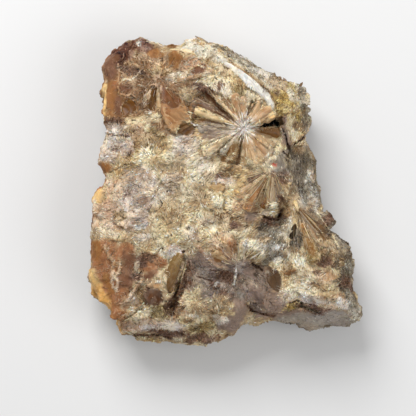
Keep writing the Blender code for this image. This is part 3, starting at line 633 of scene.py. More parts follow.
class Paint:
    """Colour, relief, gloss and kind of each point on the crystal face."""

    def __init__(self, places):
        count = len(places)
        self.uv = picture(places)
        self.flat = np.column_stack([self.uv * UNIT, np.zeros(count)])
        self.kind, self.ground = face_rocks(self.uv, self.flat)
        self.rise = np.zeros(count)
        self.gloss = np.full(count, 0.25)
        self.crystal = np.zeros(count)
        self.rim = np.zeros(count, bool)
        self.all_lines()
        self.all_plates()

    def all_lines(self):
        ragged = 1 + 0.45 * noise(self.flat, 1.1, 21) + 0.25 * noise(self.flat, 0.45, 22)
        for half, rise, rock, points in LINES:
            gap = line_gap(self.uv, points) / (half * ragged)
            chosen = gap < 1
            index = ROCK_NAMES.index(rock)
            self.kind[chosen] = index
            edge = ramp(1.0, 0.45, gap[chosen])
            self.ground[chosen] += (ROCK_COLOURS[index, GROUND] - self.ground[chosen]) * edge[:, None]
            self.rise[chosen] = rise * edge

    def all_plates(self):
        for plate in PLATES:
            u, v, start, end, bearing, spread, rise, tilt, near, far, gloss = plate
            du, dv = self.uv[:, 0] - u, v - self.uv[:, 1]
            reach = np.hypot(du, dv)
            turn = (np.degrees(np.arctan2(dv, du)) - bearing + 180) % 360 - 180
            side = turn / (spread / 2)
            chosen = (np.abs(side) < 1) & (reach > start) & (reach < end * 0.97)
            along = reach[chosen] / end
            self.rise[chosen] = rise * ramp(0, 0.5, along) + tilt * side[chosen]
            self.lay(chosen, along, near, far, gloss)
            self.crystal[chosen & (np.abs(side) < 0.9) & (reach < end * 0.8)] = 0.6
            self.rim |= chosen & ((np.abs(side) > 0.85) | (reach > end * 0.8))
        for outline, bearing, rise, near, far, gloss in TILES:
            depth = inside(self.uv, outline)
            chosen = depth > 0
            self.rise[chosen] = rise
            self.lay(chosen, np.full(chosen.sum(), 0.5), near, far, gloss)
            self.crystal[depth > -1.2] = 0.6
            self.crystal[depth > 1.2] = 1.0
            if near not in PLAIN_RIMS:
                self.rim |= (depth > -1.2) & (depth < 0.3)

    def lay(self, chosen, along, near, far, gloss):
        """Colours the ground under one crystal plate."""
        mix = np.clip(along + 0.3 * noise(self.flat[chosen], 0.8, 44), 0, 1)[:, None]
        self.ground[chosen] = np.array(COLOURS[near]) * (1 - mix) + np.array(COLOURS[far]) * mix
        self.gloss[chosen] = gloss


def side_rocks(places):
    """The kind of rock on the sides and the back: clay with bands and nests of crystals."""
    level = places[:, 2] + 1.6 * noise(places, 7.0, 61) + 0.7 * noise(places, 2.2, 62)
    index = {name: ROCK_NAMES.index(name) for name in ROCKS}
    kind = np.full(len(places), index["clay"])
    kind[noise(places, 6.0, 63) > 0.22] = index["grit"]
    kind[noise(places, 8.0, 65) > 0.35] = index["shale"]
    kind[(level > 12.5) & (level < 15.0)] = index["sugar"]
    kind[(level > 10.5) & (level < 12.5)] = index["brown"]
    kind[(level > 5.6) & (level < 7.4)] = index["straw"]
    kind[(level > 8.6) & (level < 9.6)] = index["tan"]
    kind[level > 15.5] = index["web"]
    right = (places[:, 0] > 12) | ((places[:, 0] > 3) & (places[:, 1] > 16))
    right &= level > 3
    kind[right] = np.where(noise(places[right], 2.5, 66) > 0, index["slate"], index["grit"])
    kind[np.hypot(places[:, 0] - 21.9, places[:, 1] + 5.8) < 2.4] = index["slate"]
    amber = (places[:, 0] < -20) & (level > 6.5) & (noise(places, 9.0, 64) > -0.3)
    kind[amber] = index["rust"]
    uneven = 2.5 * noise(places, 4.0, 67) + noise(places, 1.5, 68)
    rim = (places[:, 0] + uneven < -20) & (places[:, 1] + uneven < -9)
    kind[rim & (level > 9.5)] = index["honey"]
    kind[rim & (level + 0.5 * uneven > 13)] = index["glow"]
    return kind


def painted(places, normals):
    """1 where the face's patches reach, 0 on the sides and back."""
    uneven = 0.12 * noise(places, 0.8, 71)
    return ramp(-0.02, 0.12, normals[:, 2] + uneven) * ramp(5.0, 6.5, places[:, 2] + 5 * uneven)


def crystal_skin(places, front, kind, ground, steady):
    """Colours the ground with the blades and light webs of the rock, and gives their relief."""
    away = crystal_roots(places, front)
    gap, slant, lot = blades_at(away, 7.0, 31)
    gap2, slant2, lot2 = cells(places, 0.62, 57)
    numbers = ROCK_NUMBERS[kind]
    swell = lumps(places)
    light, warm = tones(places)
    # Paler on the swellings and darker in the hollows: partly the rock's own pale ledges, partly painted
    # shade.
    light = light + 0.24 * (lot[:, 0] - 0.5) + 0.12 * (lot2[:, 0] - 0.5) + 0.15 * swell
    main = ramp(0.35, 0.65, lot[:, 1]) * (1 - steady)
    colour = ground + (ROCK_COLOURS[kind, MAIN_SHADE] - ROCK_COLOURS[kind, GROUND]) * main[:, None]
    colour = shaded(kind, colour, light, warm, 0.7 * (1 - steady))
    web = ramp(0.12, 0.0, gap) * ramp(0.1, 0.5, noise(places, 1.5, 58))
    colour += (ROCK_COLOURS[kind, PALE] - colour) * (0.5 * web * (1 - steady))[:, None]
    colour *= (1 + 0.08 * (lot2[:, 2] - 0.5) + 0.05 * noise(places, 1.3, 59))[:, None]
    slope = ((2 * lot - 1) * slant).sum(1)
    slope2 = ((2 * lot2 - 1) * slant2).sum(1)
    relief = numbers[:, ROUGH] * (3.0 * swell + 0.9 * slope + 0.5 * (lot[:, 1] - 0.5) + 0.3 * slope2)
    return colour, relief, away


# ---------------------------------------------------------------- the mass


def copy_of_node(name):
    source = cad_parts[name]
    made = bpy.data.objects.new("specimen_mass", source.data.copy())
    bpy.context.scene.collection.objects.link(made)
    made.data.materials.clear()
    return made


def applied(obj):
    """Gives the object its evaluated mesh and drops its modifiers."""
    graph = bpy.context.evaluated_depsgraph_get()
    mesh = bpy.data.meshes.new_from_object(obj.evaluated_get(graph))
    obj.modifiers.clear()
    obj.data = mesh


def remesh(obj, size):
    modifier = obj.modifiers.new("even_net", "REMESH")
    modifier.mode = "VOXEL"
    modifier.voxel_size = size * MM
    applied(obj)


def vertex_array(mesh, name="co"):
    values = np.zeros(len(mesh.vertices) * 3)
    mesh.vertices.foreach_get(name, values)
    return values.reshape(-1, 3)


def spread_over_edges(mesh, values, rounds):
    """Averages values with their neighbours' a number of times."""
    pairs = np.zeros(len(mesh.edges) * 2, int)
    mesh.edges.foreach_get("vertices", pairs)
    a, b = pairs.reshape(-1, 2).T
    count = len(mesh.vertices)
    degree = np.bincount(a, minlength=count) + np.bincount(b, minlength=count)
    values = np.array(values, float)
    flat = values.reshape(count, -1)
    for _ in range(rounds):
        total = np.zeros_like(flat)
        for column in range(flat.shape[1]):
            total[:, column] = np.bincount(a, flat[b, column], count)
            total[:, column] += np.bincount(b, flat[a, column], count)
        flat = 0.5 * flat + 0.5 * total / degree[:, None]
    return flat.reshape(values.shape)


def put_colours(mesh, name, colours):
    layer = mesh.color_attributes.new(name, "FLOAT_COLOR", "POINT")
    rgba = np.ones((len(colours), 4), np.float32)
    rgba[:, :3] = surface(colours)
    layer.data.foreach_set("color", rgba.ravel())


def put_values(mesh, name, values):
    kind = "FLOAT_VECTOR" if values.ndim == 2 else "FLOAT"
    layer = mesh.attributes.new(name, kind, "POINT")
    layer.data.foreach_set("vector" if values.ndim == 2 else "value", values.astype(np.float32).ravel())


def broken_side(places):
    """Relief of the broken sides and back, in mm."""
    total = 0.12 * noise(places, 0.5, 4)
    for size, depth, seed in ((4.2, 0.9, 3), (1.6, 0.5, 8), (0.7, 0.25, 9)):
        gap, slant, lot = cells(places, size, seed)
        total += depth * ((2 * lot - 1) * slant).sum(1)
    return total


def shifted(places):
    """The places with the rim's small shifts."""
    uv = picture(places)
    moved = places.copy()
    for u, v, reach, du, dv in SHIFTS:
        share = np.exp(-((uv[:, 0] - u) ** 2 + (uv[:, 1] - v) ** 2) / reach ** 2)
        moved[:, 0] += share * du * UNIT
        moved[:, 1] -= share * dv * UNIT
    return moved


def build_mass():
    made = copy_of_node("daisy_gypsum")
    remesh(made, NET)
    mesh = made.data
    places = shifted(vertex_array(mesh) / MM)
    normals = unit_rows(spread_over_edges(mesh, vertex_array(mesh, "normal"), 6))
    smoothed = spread_over_edges(mesh, places, 14)
    front = ramp(0.25, 0.65, normals[:, 2]) * ramp(7.0, 9.0, places[:, 2])
    face = Paint(places)
    blend = painted(places, normals)
    kind = np.where(blend > 0.5, face.kind, side_rocks(places))
    ground = ROCK_COLOURS[kind, GROUND] * (1 - blend)[:, None] + face.ground * blend[:, None]
    steady = 0.85 * face.crystal * blend
    colour, relief, away = crystal_skin(places, front, kind, ground, steady)
    kept = places[:, 2] * 0.35 + smoothed[:, 2] * 0.65
    lift = ramp(0.0, 1.2, places[:, 2])
    rugged = np.where(is_one_of(kind, GLASSY), 0.4, 0.7)
    outward = (rugged * broken_side(places) + 0.5 * relief) * lift * (1 - front)
    moved = places + normals * outward[:, None]
    rough = face.rise + relief * (1 - 0.9 * np.minimum(1.6 * face.crystal, 1) * blend)
    moved[:, 2] = moved[:, 2] * (1 - front) + (kept + rough) * front
    moved[:, 2] = np.maximum(moved[:, 2], 0.0)
    mesh.vertices.foreach_set("co", (moved * MM).ravel())
    # Painted shade: the colour is darkened in the hollows of the relief and made a little lighter on its
    # ridges.
    hollow = spread_over_edges(mesh, moved, 10) - moved
    deep = (hollow * normals).sum(1)
    shade = 1 - 0.25 * ramp(0.05, 0.6, deep) + 0.08 * ramp(0.05, 0.5, -deep)
    put_colours(mesh, "tint", colour * shade[:, None])
    put_values(mesh, "gloss", face.gloss * blend + 0.1 * (1 - blend))
    put_values(mesh, "lines", unit_rows(away) * 8 + away * 0.9)
    thin = made.modifiers.new("thin", "DECIMATE")
    mesh.calc_loop_triangles()
    thin.ratio = min(1.0, MASS_TRIANGLES / len(mesh.loop_triangles))
    applied(made)
    made.data.shade_smooth()
    return made


# ---------------------------------------------------------------- meshes from arrays


def mesh_object(name, corners, triangles, colours, gloss, lines):
    """An object from corner places in mm, triangles, and a screen colour, gloss and line place per
    corner."""
    mesh = bpy.data.meshes.new(name)
    mesh.vertices.add(len(corners))
    mesh.vertices.foreach_set("co", (corners * MM).astype(np.float32).ravel())
    mesh.loops.add(triangles.size)
    mesh.loops.foreach_set("vertex_index", triangles.astype(np.int32).ravel())
    mesh.polygons.add(len(triangles))
    mesh.polygons.foreach_set("loop_start", np.arange(0, triangles.size, 3, dtype=np.int32))
    mesh.update(calc_edges=True)
    put_colours(mesh, "tint", colours)
    put_values(mesh, "gloss", gloss)
    put_values(mesh, "lines", lines)
    made = bpy.data.objects.new(name, mesh)
    bpy.context.scene.collection.objects.link(made)
    return made


def repeated(triangles, corners, count):
    """The triangles of a number of copies of one shape, whose corners follow each other."""
    return (triangles[None] + corners * np.arange(count)[:, None, None]).reshape(-1, 3)


def joined(parts):
    """One set of corners, triangles and values per corner from many."""
    starts = np.cumsum([0] + [len(part[0]) for part in parts[:-1]])
    triangles = np.vstack([part[1] + start for part, start in zip(parts, starts)])
    corners, *values = (np.concatenate([part[k] for part in parts]) for k in (0, 2, 3, 4))
    return corners, triangles, *values


# ---------------------------------------------------------------- long crystals and plates


class Ground:
    """Heights of the mass under places on the crystal face."""

    def __init__(self, mass):
        self.tree = BVHTree.FromObject(mass, bpy.context.evaluated_depsgraph_get())

    def height(self, x, y):
        hit = self.tree.ray_cast(Vector((x * MM, y * MM, 0.1)), Vector((0, 0, -1)))[0]
        return hit.z / MM if hit else None

    def heights(self, xs, ys, spare=None):
        found = [self.height(x, y) for x, y in zip(xs, ys)]
        if spare is None:
            known = [z for z in found if z is not None]
            spare = float(np.median(known)) if known else 12.0
        return np.array([spare if z is None else z for z in found])


# A long crystal's cross section: across and up, as shares of its half width and thickness.
SECTION = np.array([(-1, 0.10), (-0.78, 0.82), (0.08, 1.0), (0.80, 0.70), (1, 0.0),
                    (0.6, -1.6), (-0.6, -1.6)])
STATIONS = 11


def tube_triangles(rings, around):
    """Triangles of a closed tube of rings, its ends capped."""
    found = []
    for ring in range(rings - 1):
        for k in range(around):
            a, b = ring * around + k, ring * around + (k + 1) % around
            c, d = a + around, b + around
            found += [(a, c, b), (b, c, d)]
    last = (rings - 1) * around
    for k in range(1, around - 1):
        found += [(0, k, k + 1), (last, last + k + 1, last + k)]
    return np.array(found)


def long_crystal(line, heights, half, thick, near, far, rng, gloss):
    """One straight blade along a line of places in mm, lying on the given heights."""
    count = len(line)
    share = np.linspace(0, 1, count)
    fit = np.polyfit(share, heights, 1)
    level = np.polyval(fit, share) + rng.uniform(0.05, 0.3)
    way = line[-1] - line[0]
    way = way / (np.hypot(*way) + 1e-9)
    side = np.array([-way[1], way[0]])
    corners = np.zeros((count, len(SECTION), 3))
    corners[:, :, :2] = line[:, None, :] + SECTION[None, :, :1] * half[:, None, None] * side
    corners[:, :, 2] = level[:, None] + SECTION[None, :, 1] * thick[:, None]
    mix = np.clip(share + rng.uniform(-0.25, 0.25) + 0.10 * rng.standard_normal(count), 0, 1)[:, None]
    colour = (np.array(near) * (1 - mix) + np.array(far) * mix) * rng.uniform(0.90, 1.10)
    colour = np.repeat(colour[:, None, :], len(SECTION), axis=1)
    rim = rng.uniform(0.0, 0.55)
    colour[:, 1] += (np.array(COLOURS["cream"]) - colour[:, 1]) * rim
    # Painted shade: one side and the underside are darker.
    colour[:, 0] *= 0.95
    colour[:, 4:] *= 0.85
    colour[:, 2] *= rng.uniform(0.94, 1.06)
    triangles = tube_triangles(count, len(SECTION))
    total = count * len(SECTION)
    lines = np.zeros((count, len(SECTION), 3))
    lines[:, :, 0] = SECTION[:, 0] * half.max() / 0.12
    lines[:, :, 1] = share[:, None] * 3
    lines[:, :, 2] = rng.uniform(0, 500)
    corners, colour, lines = (part.reshape(-1, 3) for part in (corners, colour, lines))
    return corners, triangles, colour, np.full(total, gloss), lines


def needles(ground, rng):
    """Fine light and dark needles that run out from the daisies' middles."""
    parts = []
    for u, v, count, start, end, shades in NEEDLES:
        x0, y0 = in_mm(u, v)
        low, high = NEEDLE_SECTORS.get((u, v), (0, 360))
        for turn in np.radians(rng.uniform(low, high, count)):
            begin = UNIT * rng.uniform(start, start + 0.4 * (end - start))
            reach = np.linspace(begin, begin + UNIT * (end - start) * rng.uniform(0.3, 0.8), 5)
            line = np.column_stack([x0 + reach * math.cos(turn), y0 + reach * math.sin(turn)])
            half = rng.uniform(0.04, 0.08) * np.array([0.4, 1.0, 1.0, 0.8, 0.2])
            thick = np.full(5, rng.uniform(0.08, 0.16))
            heights = ground.heights(line[:, 0], line[:, 1]) + 0.05
            shade = COLOURS[shades[rng.integers(len(shades))]]
            parts.append(long_crystal(line, heights, half, thick, shade, shade, rng, 0.6))
    return parts


def spikes(ground, rng):
    parts = []
    for u0, v0, u1, v1, wide, shade in SPIKES:
        root, tip = np.array(in_mm(u0, v0)), np.array(in_mm(u1, v1))
        share = np.linspace(0, 1, STATIONS)
        line = root + (tip - root) * share[:, None]
        low = ground.heights(line[:2, 0], line[:2, 1]).mean()
        heights = np.full(STATIONS, low - 0.6)
        half = wide / 2 * (1 - 0.7 * ramp(0.5, 1.0, share))
        thick = 0.5 * (1 - 0.6 * share)
        shades = COLOURS[shade], COLOURS[shade]
        parts.append(long_crystal(line, heights, half, thick, *shades, rng, 0.4))
    return parts


def petal_outline(plate, rng):
    """The picture outline of a daisy's petal: a wedge with a broken tip."""
    u, v, start, end, bearing, spread = plate[:6]
    half = spread / 2
    bend = rng.uniform(-4, 4)
    steps = [(0.0, 0.9), (0.35, 1.08), (0.7, 1.12), (0.92, 0.95)]
    tip = [(rng.uniform(0.94, 1.06), side) for side in (0.45, -0.1, -0.6)]
    edges = steps + tip + [(share, -width) for share, width in steps[::-1]]
    points = []
    for share, width in edges:
        turn = math.radians(bearing + bend * share ** 2 + half * width * rng.uniform(0.85, 1.15))
        reach = start + (end - start) * share
        points.append((u + reach * math.cos(turn), v - reach * math.sin(turn)))
    return points


def jagged(outline, rng):
    """The outline in mm, with a point every 0.3 mm that strays a little."""
    corners = [np.array(in_mm(u, v)) for u, v in outline]
    rim = []
    for a, b in zip(corners, corners[1:] + corners[:1]):
        steps = max(1, round(np.hypot(*(b - a)) / 0.3))
        rim += [a + (b - a) * k / steps + rng.normal(0, 0.035, 2) for k in range(steps)]
    rim = np.array(rim)
    spot = np.column_stack([rim, np.full(len(rim), rng.uniform(0, 90))])
    return rim + 0.16 * np.column_stack([noise(spot, 0.9, 60), noise(spot, 0.9, 61)])


def filled(rim, rng):
    """Triangles over the inside of a rim, anticlockwise, with points about 0.25 mm apart."""
    low, high = rim.min(0), rim.max(0)
    grid = [(x, y) for x in np.arange(low[0], high[0], 0.25) for y in np.arange(low[1], high[1], 0.25)]
    grid = np.array(grid) + rng.uniform(-0.07, 0.07, (len(grid), 2))
    grid = grid[inside(grid, [tuple(point) for point in rim]) > 0.14]
    places = [Vector(point) for point in np.vstack([rim, grid])]
    loop = [(k, (k + 1) % len(rim)) for k in range(len(rim))]
    found = delaunay_2d_cdt(places, loop, [], 1, 1e-6)
    flat = np.array([tuple(point) for point in found[0]])
    faces = np.array([face for face in found[2] if len(face) == 3])
    a, b = flat[faces[:, 1]] - flat[faces[:, 0]], flat[faces[:, 2]] - flat[faces[:, 0]]
    left = a[:, 0] * b[:, 1] - a[:, 1] * b[:, 0] > 0
    return flat, np.where(left[:, None], faces, faces[:, ::-1])


def closed(faces, count):
    """Triangles of a closed plate from those of its top, whose corners are repeated for its bottom."""
    used = {pair for a, b, c in faces.tolist() for pair in ((a, b), (b, c), (c, a))}
    sides = []
    for a, b in sorted(used):
        if (b, a) not in used:
            sides += [(a, a + count, b), (b, a + count, b + count)]
    return np.vstack([faces, faces[:, ::-1] + count, np.array(sides)])


def cleavage(flat, spot, run):
    """Places along and across a plate's lines, in mm, and how frosted the plate is at its root. The
    lines run along a bearing, or out from a root where run is a place."""
    frost = np.zeros(len(flat))
    if isinstance(run, tuple):
        away = flat - in_mm(*run)
        along = np.hypot(*away.T)
        frost = 0.8 * (run == MAIN) * ramp(3.7, 1.8, along + 1.0 * noise(spot, 0.7, 15))
        middle = away.mean(0)
        turn = np.arctan2(away[:, 1], away[:, 0]) - math.atan2(middle[1], middle[0])
        across = ((turn + math.pi) % (2 * math.pi) - math.pi) * along.max() * 0.7
        along = along - along.mean()
    else:
        turn = math.radians(run)
        away = flat - flat.mean(0)
        along = away @ (math.cos(turn), math.sin(turn))
        across = away @ (-math.sin(turn), math.cos(turn))
    return along, across + 0.5 * noise(spot, 2.0, 8) + 0.2 * noise(spot, 0.9, 11), frost


def slab(ground, outline, run, lined, near, far, gloss, number, rng):
    """A crystal plate with a bevelled rim and fine cleavage steps, sunk in the mass; lined is how
    light its lines are."""
    rim = jagged(outline, rng)
    flat, faces = filled(rim, rng)
    depth = np.maximum(inside(flat, [tuple(point) for point in rim]), 0)
    heights = ground.heights(flat[:, 0], flat[:, 1])
    x, y = (flat - flat.mean(0)).T
    basis = np.column_stack([x, y, np.ones(len(flat)), x * x, x * y, y * y])
    plane = basis @ np.linalg.lstsq(basis, heights, rcond=None)[0]
    spot = np.column_stack([flat, np.full(len(flat), 2.1 * number)])
    along, across, frost = cleavage(flat, spot, run)
    lines = np.column_stack([across / 0.45, along * 0.3, np.full(len(flat), 3.7 * number)])
    wide, fine = noise(lines, 1.0, 200 + number), noise(lines * (2.5, 1.5, 1), 1.0, 300 + number)
    bevel = 1 - (1 - np.minimum(depth / 0.3, 1)) ** 2
    cloud = noise(spot, 1.5, 9)
    top = plane + 0.02 + 0.05 * bevel + 0.05 * np.round(2 * wide) + 0.03 * fine + 0.08 * cloud
    size = np.abs(along).max() + 1e-6
    mix = np.clip(0.5 + 0.5 * along / size + 0.25 * wide + 0.25 * cloud, 0, 1)[:, None]
    colour = np.array(COLOURS[near]) * (1 - mix) + np.array(COLOURS[far]) * mix
    colour *= (1 + 0.06 * wide + 0.08 * fine + 0.08 * cloud)[:, None]
    window = ramp(0.05, 0.45, noise(spot, 1.2, 12)) * ramp(0.2, 0.6, depth) * (1.3 - 1.2 * colour.mean(1))
    colour *= 1 - window[:, None] * (0.10, 0.20, 0.30)
    streak = ramp(0.16, 0.0, np.abs(fine)) * ramp(-0.3, 0.4, noise(lines, 2.0, 6))
    curl = noise(np.column_stack([across / 0.9, along / 1.8, np.full(len(flat), 5.3 * number)]), 1.0, 14)
    streak = np.maximum(streak, ramp(0.09, 0.0, np.abs(curl)) * ramp(-0.2, 0.3, cloud))
    seam = (0.20 + 0.8 * lined) * ramp(0.22, 0.0, depth) * ramp(-0.5, 0.3, noise(lines, 3.0, 5))
    seam *= near != "cavity_shadow"
    glow = np.maximum(seam, lined * streak)
    colour += (np.array(COLOURS["cream"]) - colour) * glow[:, None]
    colour += (np.array(COLOURS["frost"]) - colour) * frost[:, None]
    body = np.vstack([np.column_stack([flat, top]), np.column_stack([flat, plane - 1.0])])
    lines = np.column_stack([across / 0.24, along * 0.4, np.full(len(flat), 3.7 * number)])
    # The bottom corners are 0.85 as bright: painted shade on the plate's underside and sides.
    return (body, closed(faces, len(flat)), np.vstack([colour, colour * 0.85]),
            np.full(2 * len(flat), gloss), np.vstack([lines, lines]))


def all_slabs(ground, rng):
    parts = []
    for number, plate in enumerate(PLATES):
        near, far, gloss = plate[8:]
        parts.append(slab(ground, petal_outline(plate, rng), plate[:2], 0.5, near, far, gloss, number, rng))
    for number, (outline, bearing, rise, near, far, gloss) in enumerate(TILES):
        parts.append(slab(ground, outline, bearing, 0.06, near, far, gloss, 60 + number, rng))
    return parts


# ---------------------------------------------------------------- small crystals

# Shapes of small crystals: corners as shares of length, width and thickness, and their triangles.
BLADE = (np.array([(-1, 0, 0), (-.1, -1, 0), (1, 0, .1), (.15, 1, 0), (.2, -.1, 1), (0, 0, -1)]),
         np.array([(0, 1, 4), (1, 2, 4), (2, 3, 4), (3, 0, 4), (1, 0, 5), (2, 1, 5), (3, 2, 5), (0, 3, 5)]))
SPLINTER = (np.array([(-1, -.8, -.3), (1, 0, .2), (-.8, .9, -.3), (-.2, .1, 1)]),
            np.array([(0, 1, 3), (1, 2, 3), (2, 0, 3), (0, 2, 1)]))


class Skin:
    """The mass's triangles, with what grows on each."""

    def __init__(self, mass):
        mesh = mass.data
        mesh.calc_loop_triangles()
        corners = np.zeros(len(mesh.loop_triangles) * 3, int)
        mesh.loop_triangles.foreach_get("vertices", corners)
        self.triangles = corners.reshape(-1, 3)
        self.places = vertex_array(mesh) / MM
        a, b, c = (self.places[self.triangles[:, k]] for k in range(3))
        cross = np.cross(b - a, c - a)
        self.area = np.linalg.norm(cross, axis=1) / 2
        smooth = unit_rows(spread_over_edges(mesh, vertex_array(mesh, "normal"), 3))
        self.normal = unit_rows(sum(smooth[self.triangles[:, k]] for k in range(3)))
        self.middle = (a + b + c) / 3
        self.front = painted(self.middle, self.normal)

    def scatter(self, count, weight, rng):
        """Random places on the triangles, by weight."""
        total = np.cumsum(weight)
        chosen = np.searchsorted(total, rng.uniform(0, total[-1], count))
        share = np.sort(rng.uniform(0, 1, (count, 2)), axis=1)
        parts = np.column_stack([share[:, 0], share[:, 1] - share[:, 0], 1 - share[:, 1]])
        corners = self.places[self.triangles[chosen]]
        return chosen, (corners * parts[:, :, None]).sum(1)


def crystal_axes(away, normal, leans, steep, spread, rng):
    """Unit vectors along, across and up from crystals that run out from their roots."""
    spin = rng.normal(0, spread * np.radians(8 + 0.7 * leans))
    tangent = unit_rows(away - normal * (away * normal).sum(1)[:, None])
    beside = np.cross(normal, tangent)
    tangent = tangent * np.cos(spin)[:, None] + beside * np.sin(spin)[:, None]
    lift = steep * np.radians(rng.uniform(-0.2, 1.0, len(away)) * leans)[:, None]
    way = tangent * np.cos(lift) + normal * np.sin(lift)
    beside = unit_rows(np.cross(normal, way))
    roll = np.radians(rng.normal(0, 4 + 10 * steep, len(away)))[:, None]
    up = np.cross(way, beside)
    return way, beside * np.cos(roll) + up * np.sin(roll), up * np.cos(roll) - beside * np.sin(roll)


def crystal_shades(places, kind, ground, on_face, vary, rng):
    """The screen colour of each small crystal, from its rock and the ground that it grows on, with
    painted glints on a few of them and painted shadow on a few others.
    """
    colours = ROCK_COLOURS[kind]
    swell = np.clip(1.5 * lumps(places), -1, 1)
    light, warm = tones(places)
    # Paler and a little brighter on the swellings, darker in the hollows: partly the rock's own pale ledges,
    # partly painted shade.
    light = light + rng.normal(0, vary, len(places)) + 0.10 * swell
    shade = colours[:, MAIN_SHADE] * 0.7 + colours[:, GROUND] * 0.3
    shade = shaded(kind, shade, light, warm, np.full(len(places), 0.7))
    shade += np.where(on_face[:, None], 0.6 * (ground - colours[:, GROUND]), 0.0)
    shade *= (rng.normal(1, 0.10, len(places)) * (1 + 0.06 * swell))[:, None]
    # Painted glints: a few crystals are made brighter. Painted shadow: a few others are made darker.
    spark = rng.uniform(0, 1, len(places))
    shade[spark < GLINTS] *= 1.28
    shade[spark > 1 - SHADOWS] *= 0.57
    return shade


def small_crystals(name, skin, count, shape, size, weight, seed):
    """A crust of small crystals, each running out from its root and lifted a little. The size is the
    length, width and lift, as shares of what their rock has, the spread of their bearings and how
    much their shades vary."""
    rng = np.random.default_rng(seed)
    long, wide, steep, spread, vary = size
    chosen, places = skin.scatter(count, weight, rng)
    normal, front = skin.normal[chosen], skin.front[chosen]
    jitter = places + rng.normal(0, 0.12, places.shape)
    face = Paint(jitter)
    on_face = front > 0.5
    kind = np.where(on_face, face.kind, side_rocks(jitter))
    numbers = ROCK_NUMBERS[kind]
    away = crystal_roots(places, front)
    way, beside, up = crystal_axes(away, normal, numbers[:, LIFT], steep, spread, rng)
    half_long = long * 0.5 * numbers[:, LONG] * rng.lognormal(0, 0.30, count)
    half_wide = wide * 0.5 * numbers[:, WIDE] * rng.lognormal(0, 0.30, count)
    thick = np.minimum(half_wide, 0.14) * rng.uniform(0.4, 0.8, count)
    corners, faces = shape
    body = (places - normal * (0.35 * thick)[:, None])[:, None, :] \
        + corners[None, :, :1] * (way * half_long[:, None])[:, None, :] \
        + corners[None, :, 1:2] * (beside * half_wide[:, None])[:, None, :] \
        + corners[None, :, 2:] * (up * thick[:, None])[:, None, :]
    shade = crystal_shades(places, kind, face.ground, on_face, vary, rng)
    # Painted shade: each crystal is a little darker at its root and underside, and lighter at its tip and
    # top.
    along = corners[None, :, 0] * 0.05 + corners[None, :, 2] * 0.03
    tint = shade[:, None, :] * (1 + along)[:, :, None]
    rim = 0.45 * rng.uniform(0, 1, count)[:, None] * (corners[None, :, 2] < 0.5)
    tint += (ROCK_COLOURS[kind, PALE][:, None, :] - tint) * rim[:, :, None]
    total = len(corners)
    body[:, :, 2] = np.maximum(body[:, :, 2], 0.02)
    gloss = np.repeat(rng.uniform(0.3, 0.9, count), total)
    lines = np.zeros_like(body)
    lines[:, :, 0] = corners[:, 0] * half_long[:, None] / 0.5
    lines[:, :, 1] = corners[:, 1] * half_wide[:, None] / 0.09
    lines[:, :, 2] = rng.uniform(0, 500, count)[:, None]
    body, tint, lines = (part.reshape(-1, 3) for part in (body, tint, lines))
    return mesh_object(name, body, repeated(faces, total, count), tint, gloss, lines)


# A flake edge's cross section, its widths from end to end, and how many places make one.
EDGE_SECTION = np.array([(-1.0, -2.0), (0.0, 1.0), (1.0, -2.0)])
EDGE_WIDTHS = np.array([0.2, 0.9, 1.0, 0.8, 0.2])


def flake_edges(skin, ground, count, weight, seed):
    """Fine ridges that wander over the face, where thin flakes of crystal end."""
    rng = np.random.default_rng(seed)
    chosen, places = skin.scatter(count, weight, rng)
    away = crystal_roots(places, skin.front[chosen])
    turn = np.arctan2(away[:, 1], away[:, 0]) + rng.normal(0, 0.45, count)
    step = rng.lognormal(math.log(0.30), 0.35, count)
    bend = rng.normal(0, 0.12, count)
    line = [places[:, :2]]
    for _ in EDGE_WIDTHS[1:]:
        turn = turn + bend + rng.normal(0, 0.25, count)
        line.append(line[-1] + step[:, None] * np.column_stack([np.cos(turn), np.sin(turn)]))
    line = np.stack(line, axis=1)
    heights = ground.heights(line[:, :, 0].ravel(), line[:, :, 1].ravel(), np.nan).reshape(line.shape[:2])
    kept = np.isfinite(heights).all(1) & (np.ptp(heights, axis=1) < 1.2)
    line, heights, places = line[kept], heights[kept], places[kept]
    heights[:, 1:-1] = 0.25 * heights[:, :-2] + 0.5 * heights[:, 1:-1] + 0.25 * heights[:, 2:]
    count = len(line)
    way = np.gradient(line, axis=1)
    way /= np.linalg.norm(way, axis=2)[:, :, None] + 1e-9
    side = np.stack([-way[:, :, 1], way[:, :, 0]], axis=2)
    half = rng.uniform(0.03, 0.07, count)[:, None] * EDGE_WIDTHS
    body = np.zeros((count, len(EDGE_WIDTHS), len(EDGE_SECTION), 3))
    body[..., :2] = line[:, :, None] + side[:, :, None] * (half[:, :, None] * EDGE_SECTION[:, 0])[..., None]
    body[..., 2] = heights[:, :, None] + 0.02 + 0.10 * EDGE_SECTION[:, 1]
    face = Paint(places)
    light, warm = tones(places)
    shade = np.where(rng.uniform(0, 1, count) < 0.93, PALE, DARK)
    own = ROCK_COLOURS[face.kind, shade] * (1 + 0.08 * light + rng.normal(0, 0.03, count))[:, None]
    tint = 0.75 * own + 0.25 * face.ground
    total = body[0, ..., 0].size
    triangles = repeated(tube_triangles(len(EDGE_WIDTHS), len(EDGE_SECTION)), total, count)
    body = body.reshape(-1, 3)
    gloss = np.full(len(body), 0.5)
    return mesh_object("flake_edges", body, triangles, np.repeat(tint, total, axis=0), gloss, body / 0.4)


def flaky_places(skin):
    """How thick each triangle of the mass is with flake edges."""
    face = Paint(skin.middle)
    share = np.array([FLAKY.get(name, 0.1) for name in ROCK_NAMES])[face.kind]
    share = np.where(face.rim, 1.3, share)
    share = np.where(face.crystal > 0, 1.5 - 1.45 * face.crystal, share)
    return skin.area * share * (skin.front > 0.7) * ramp(0.5, 0.8, skin.normal[:, 2])


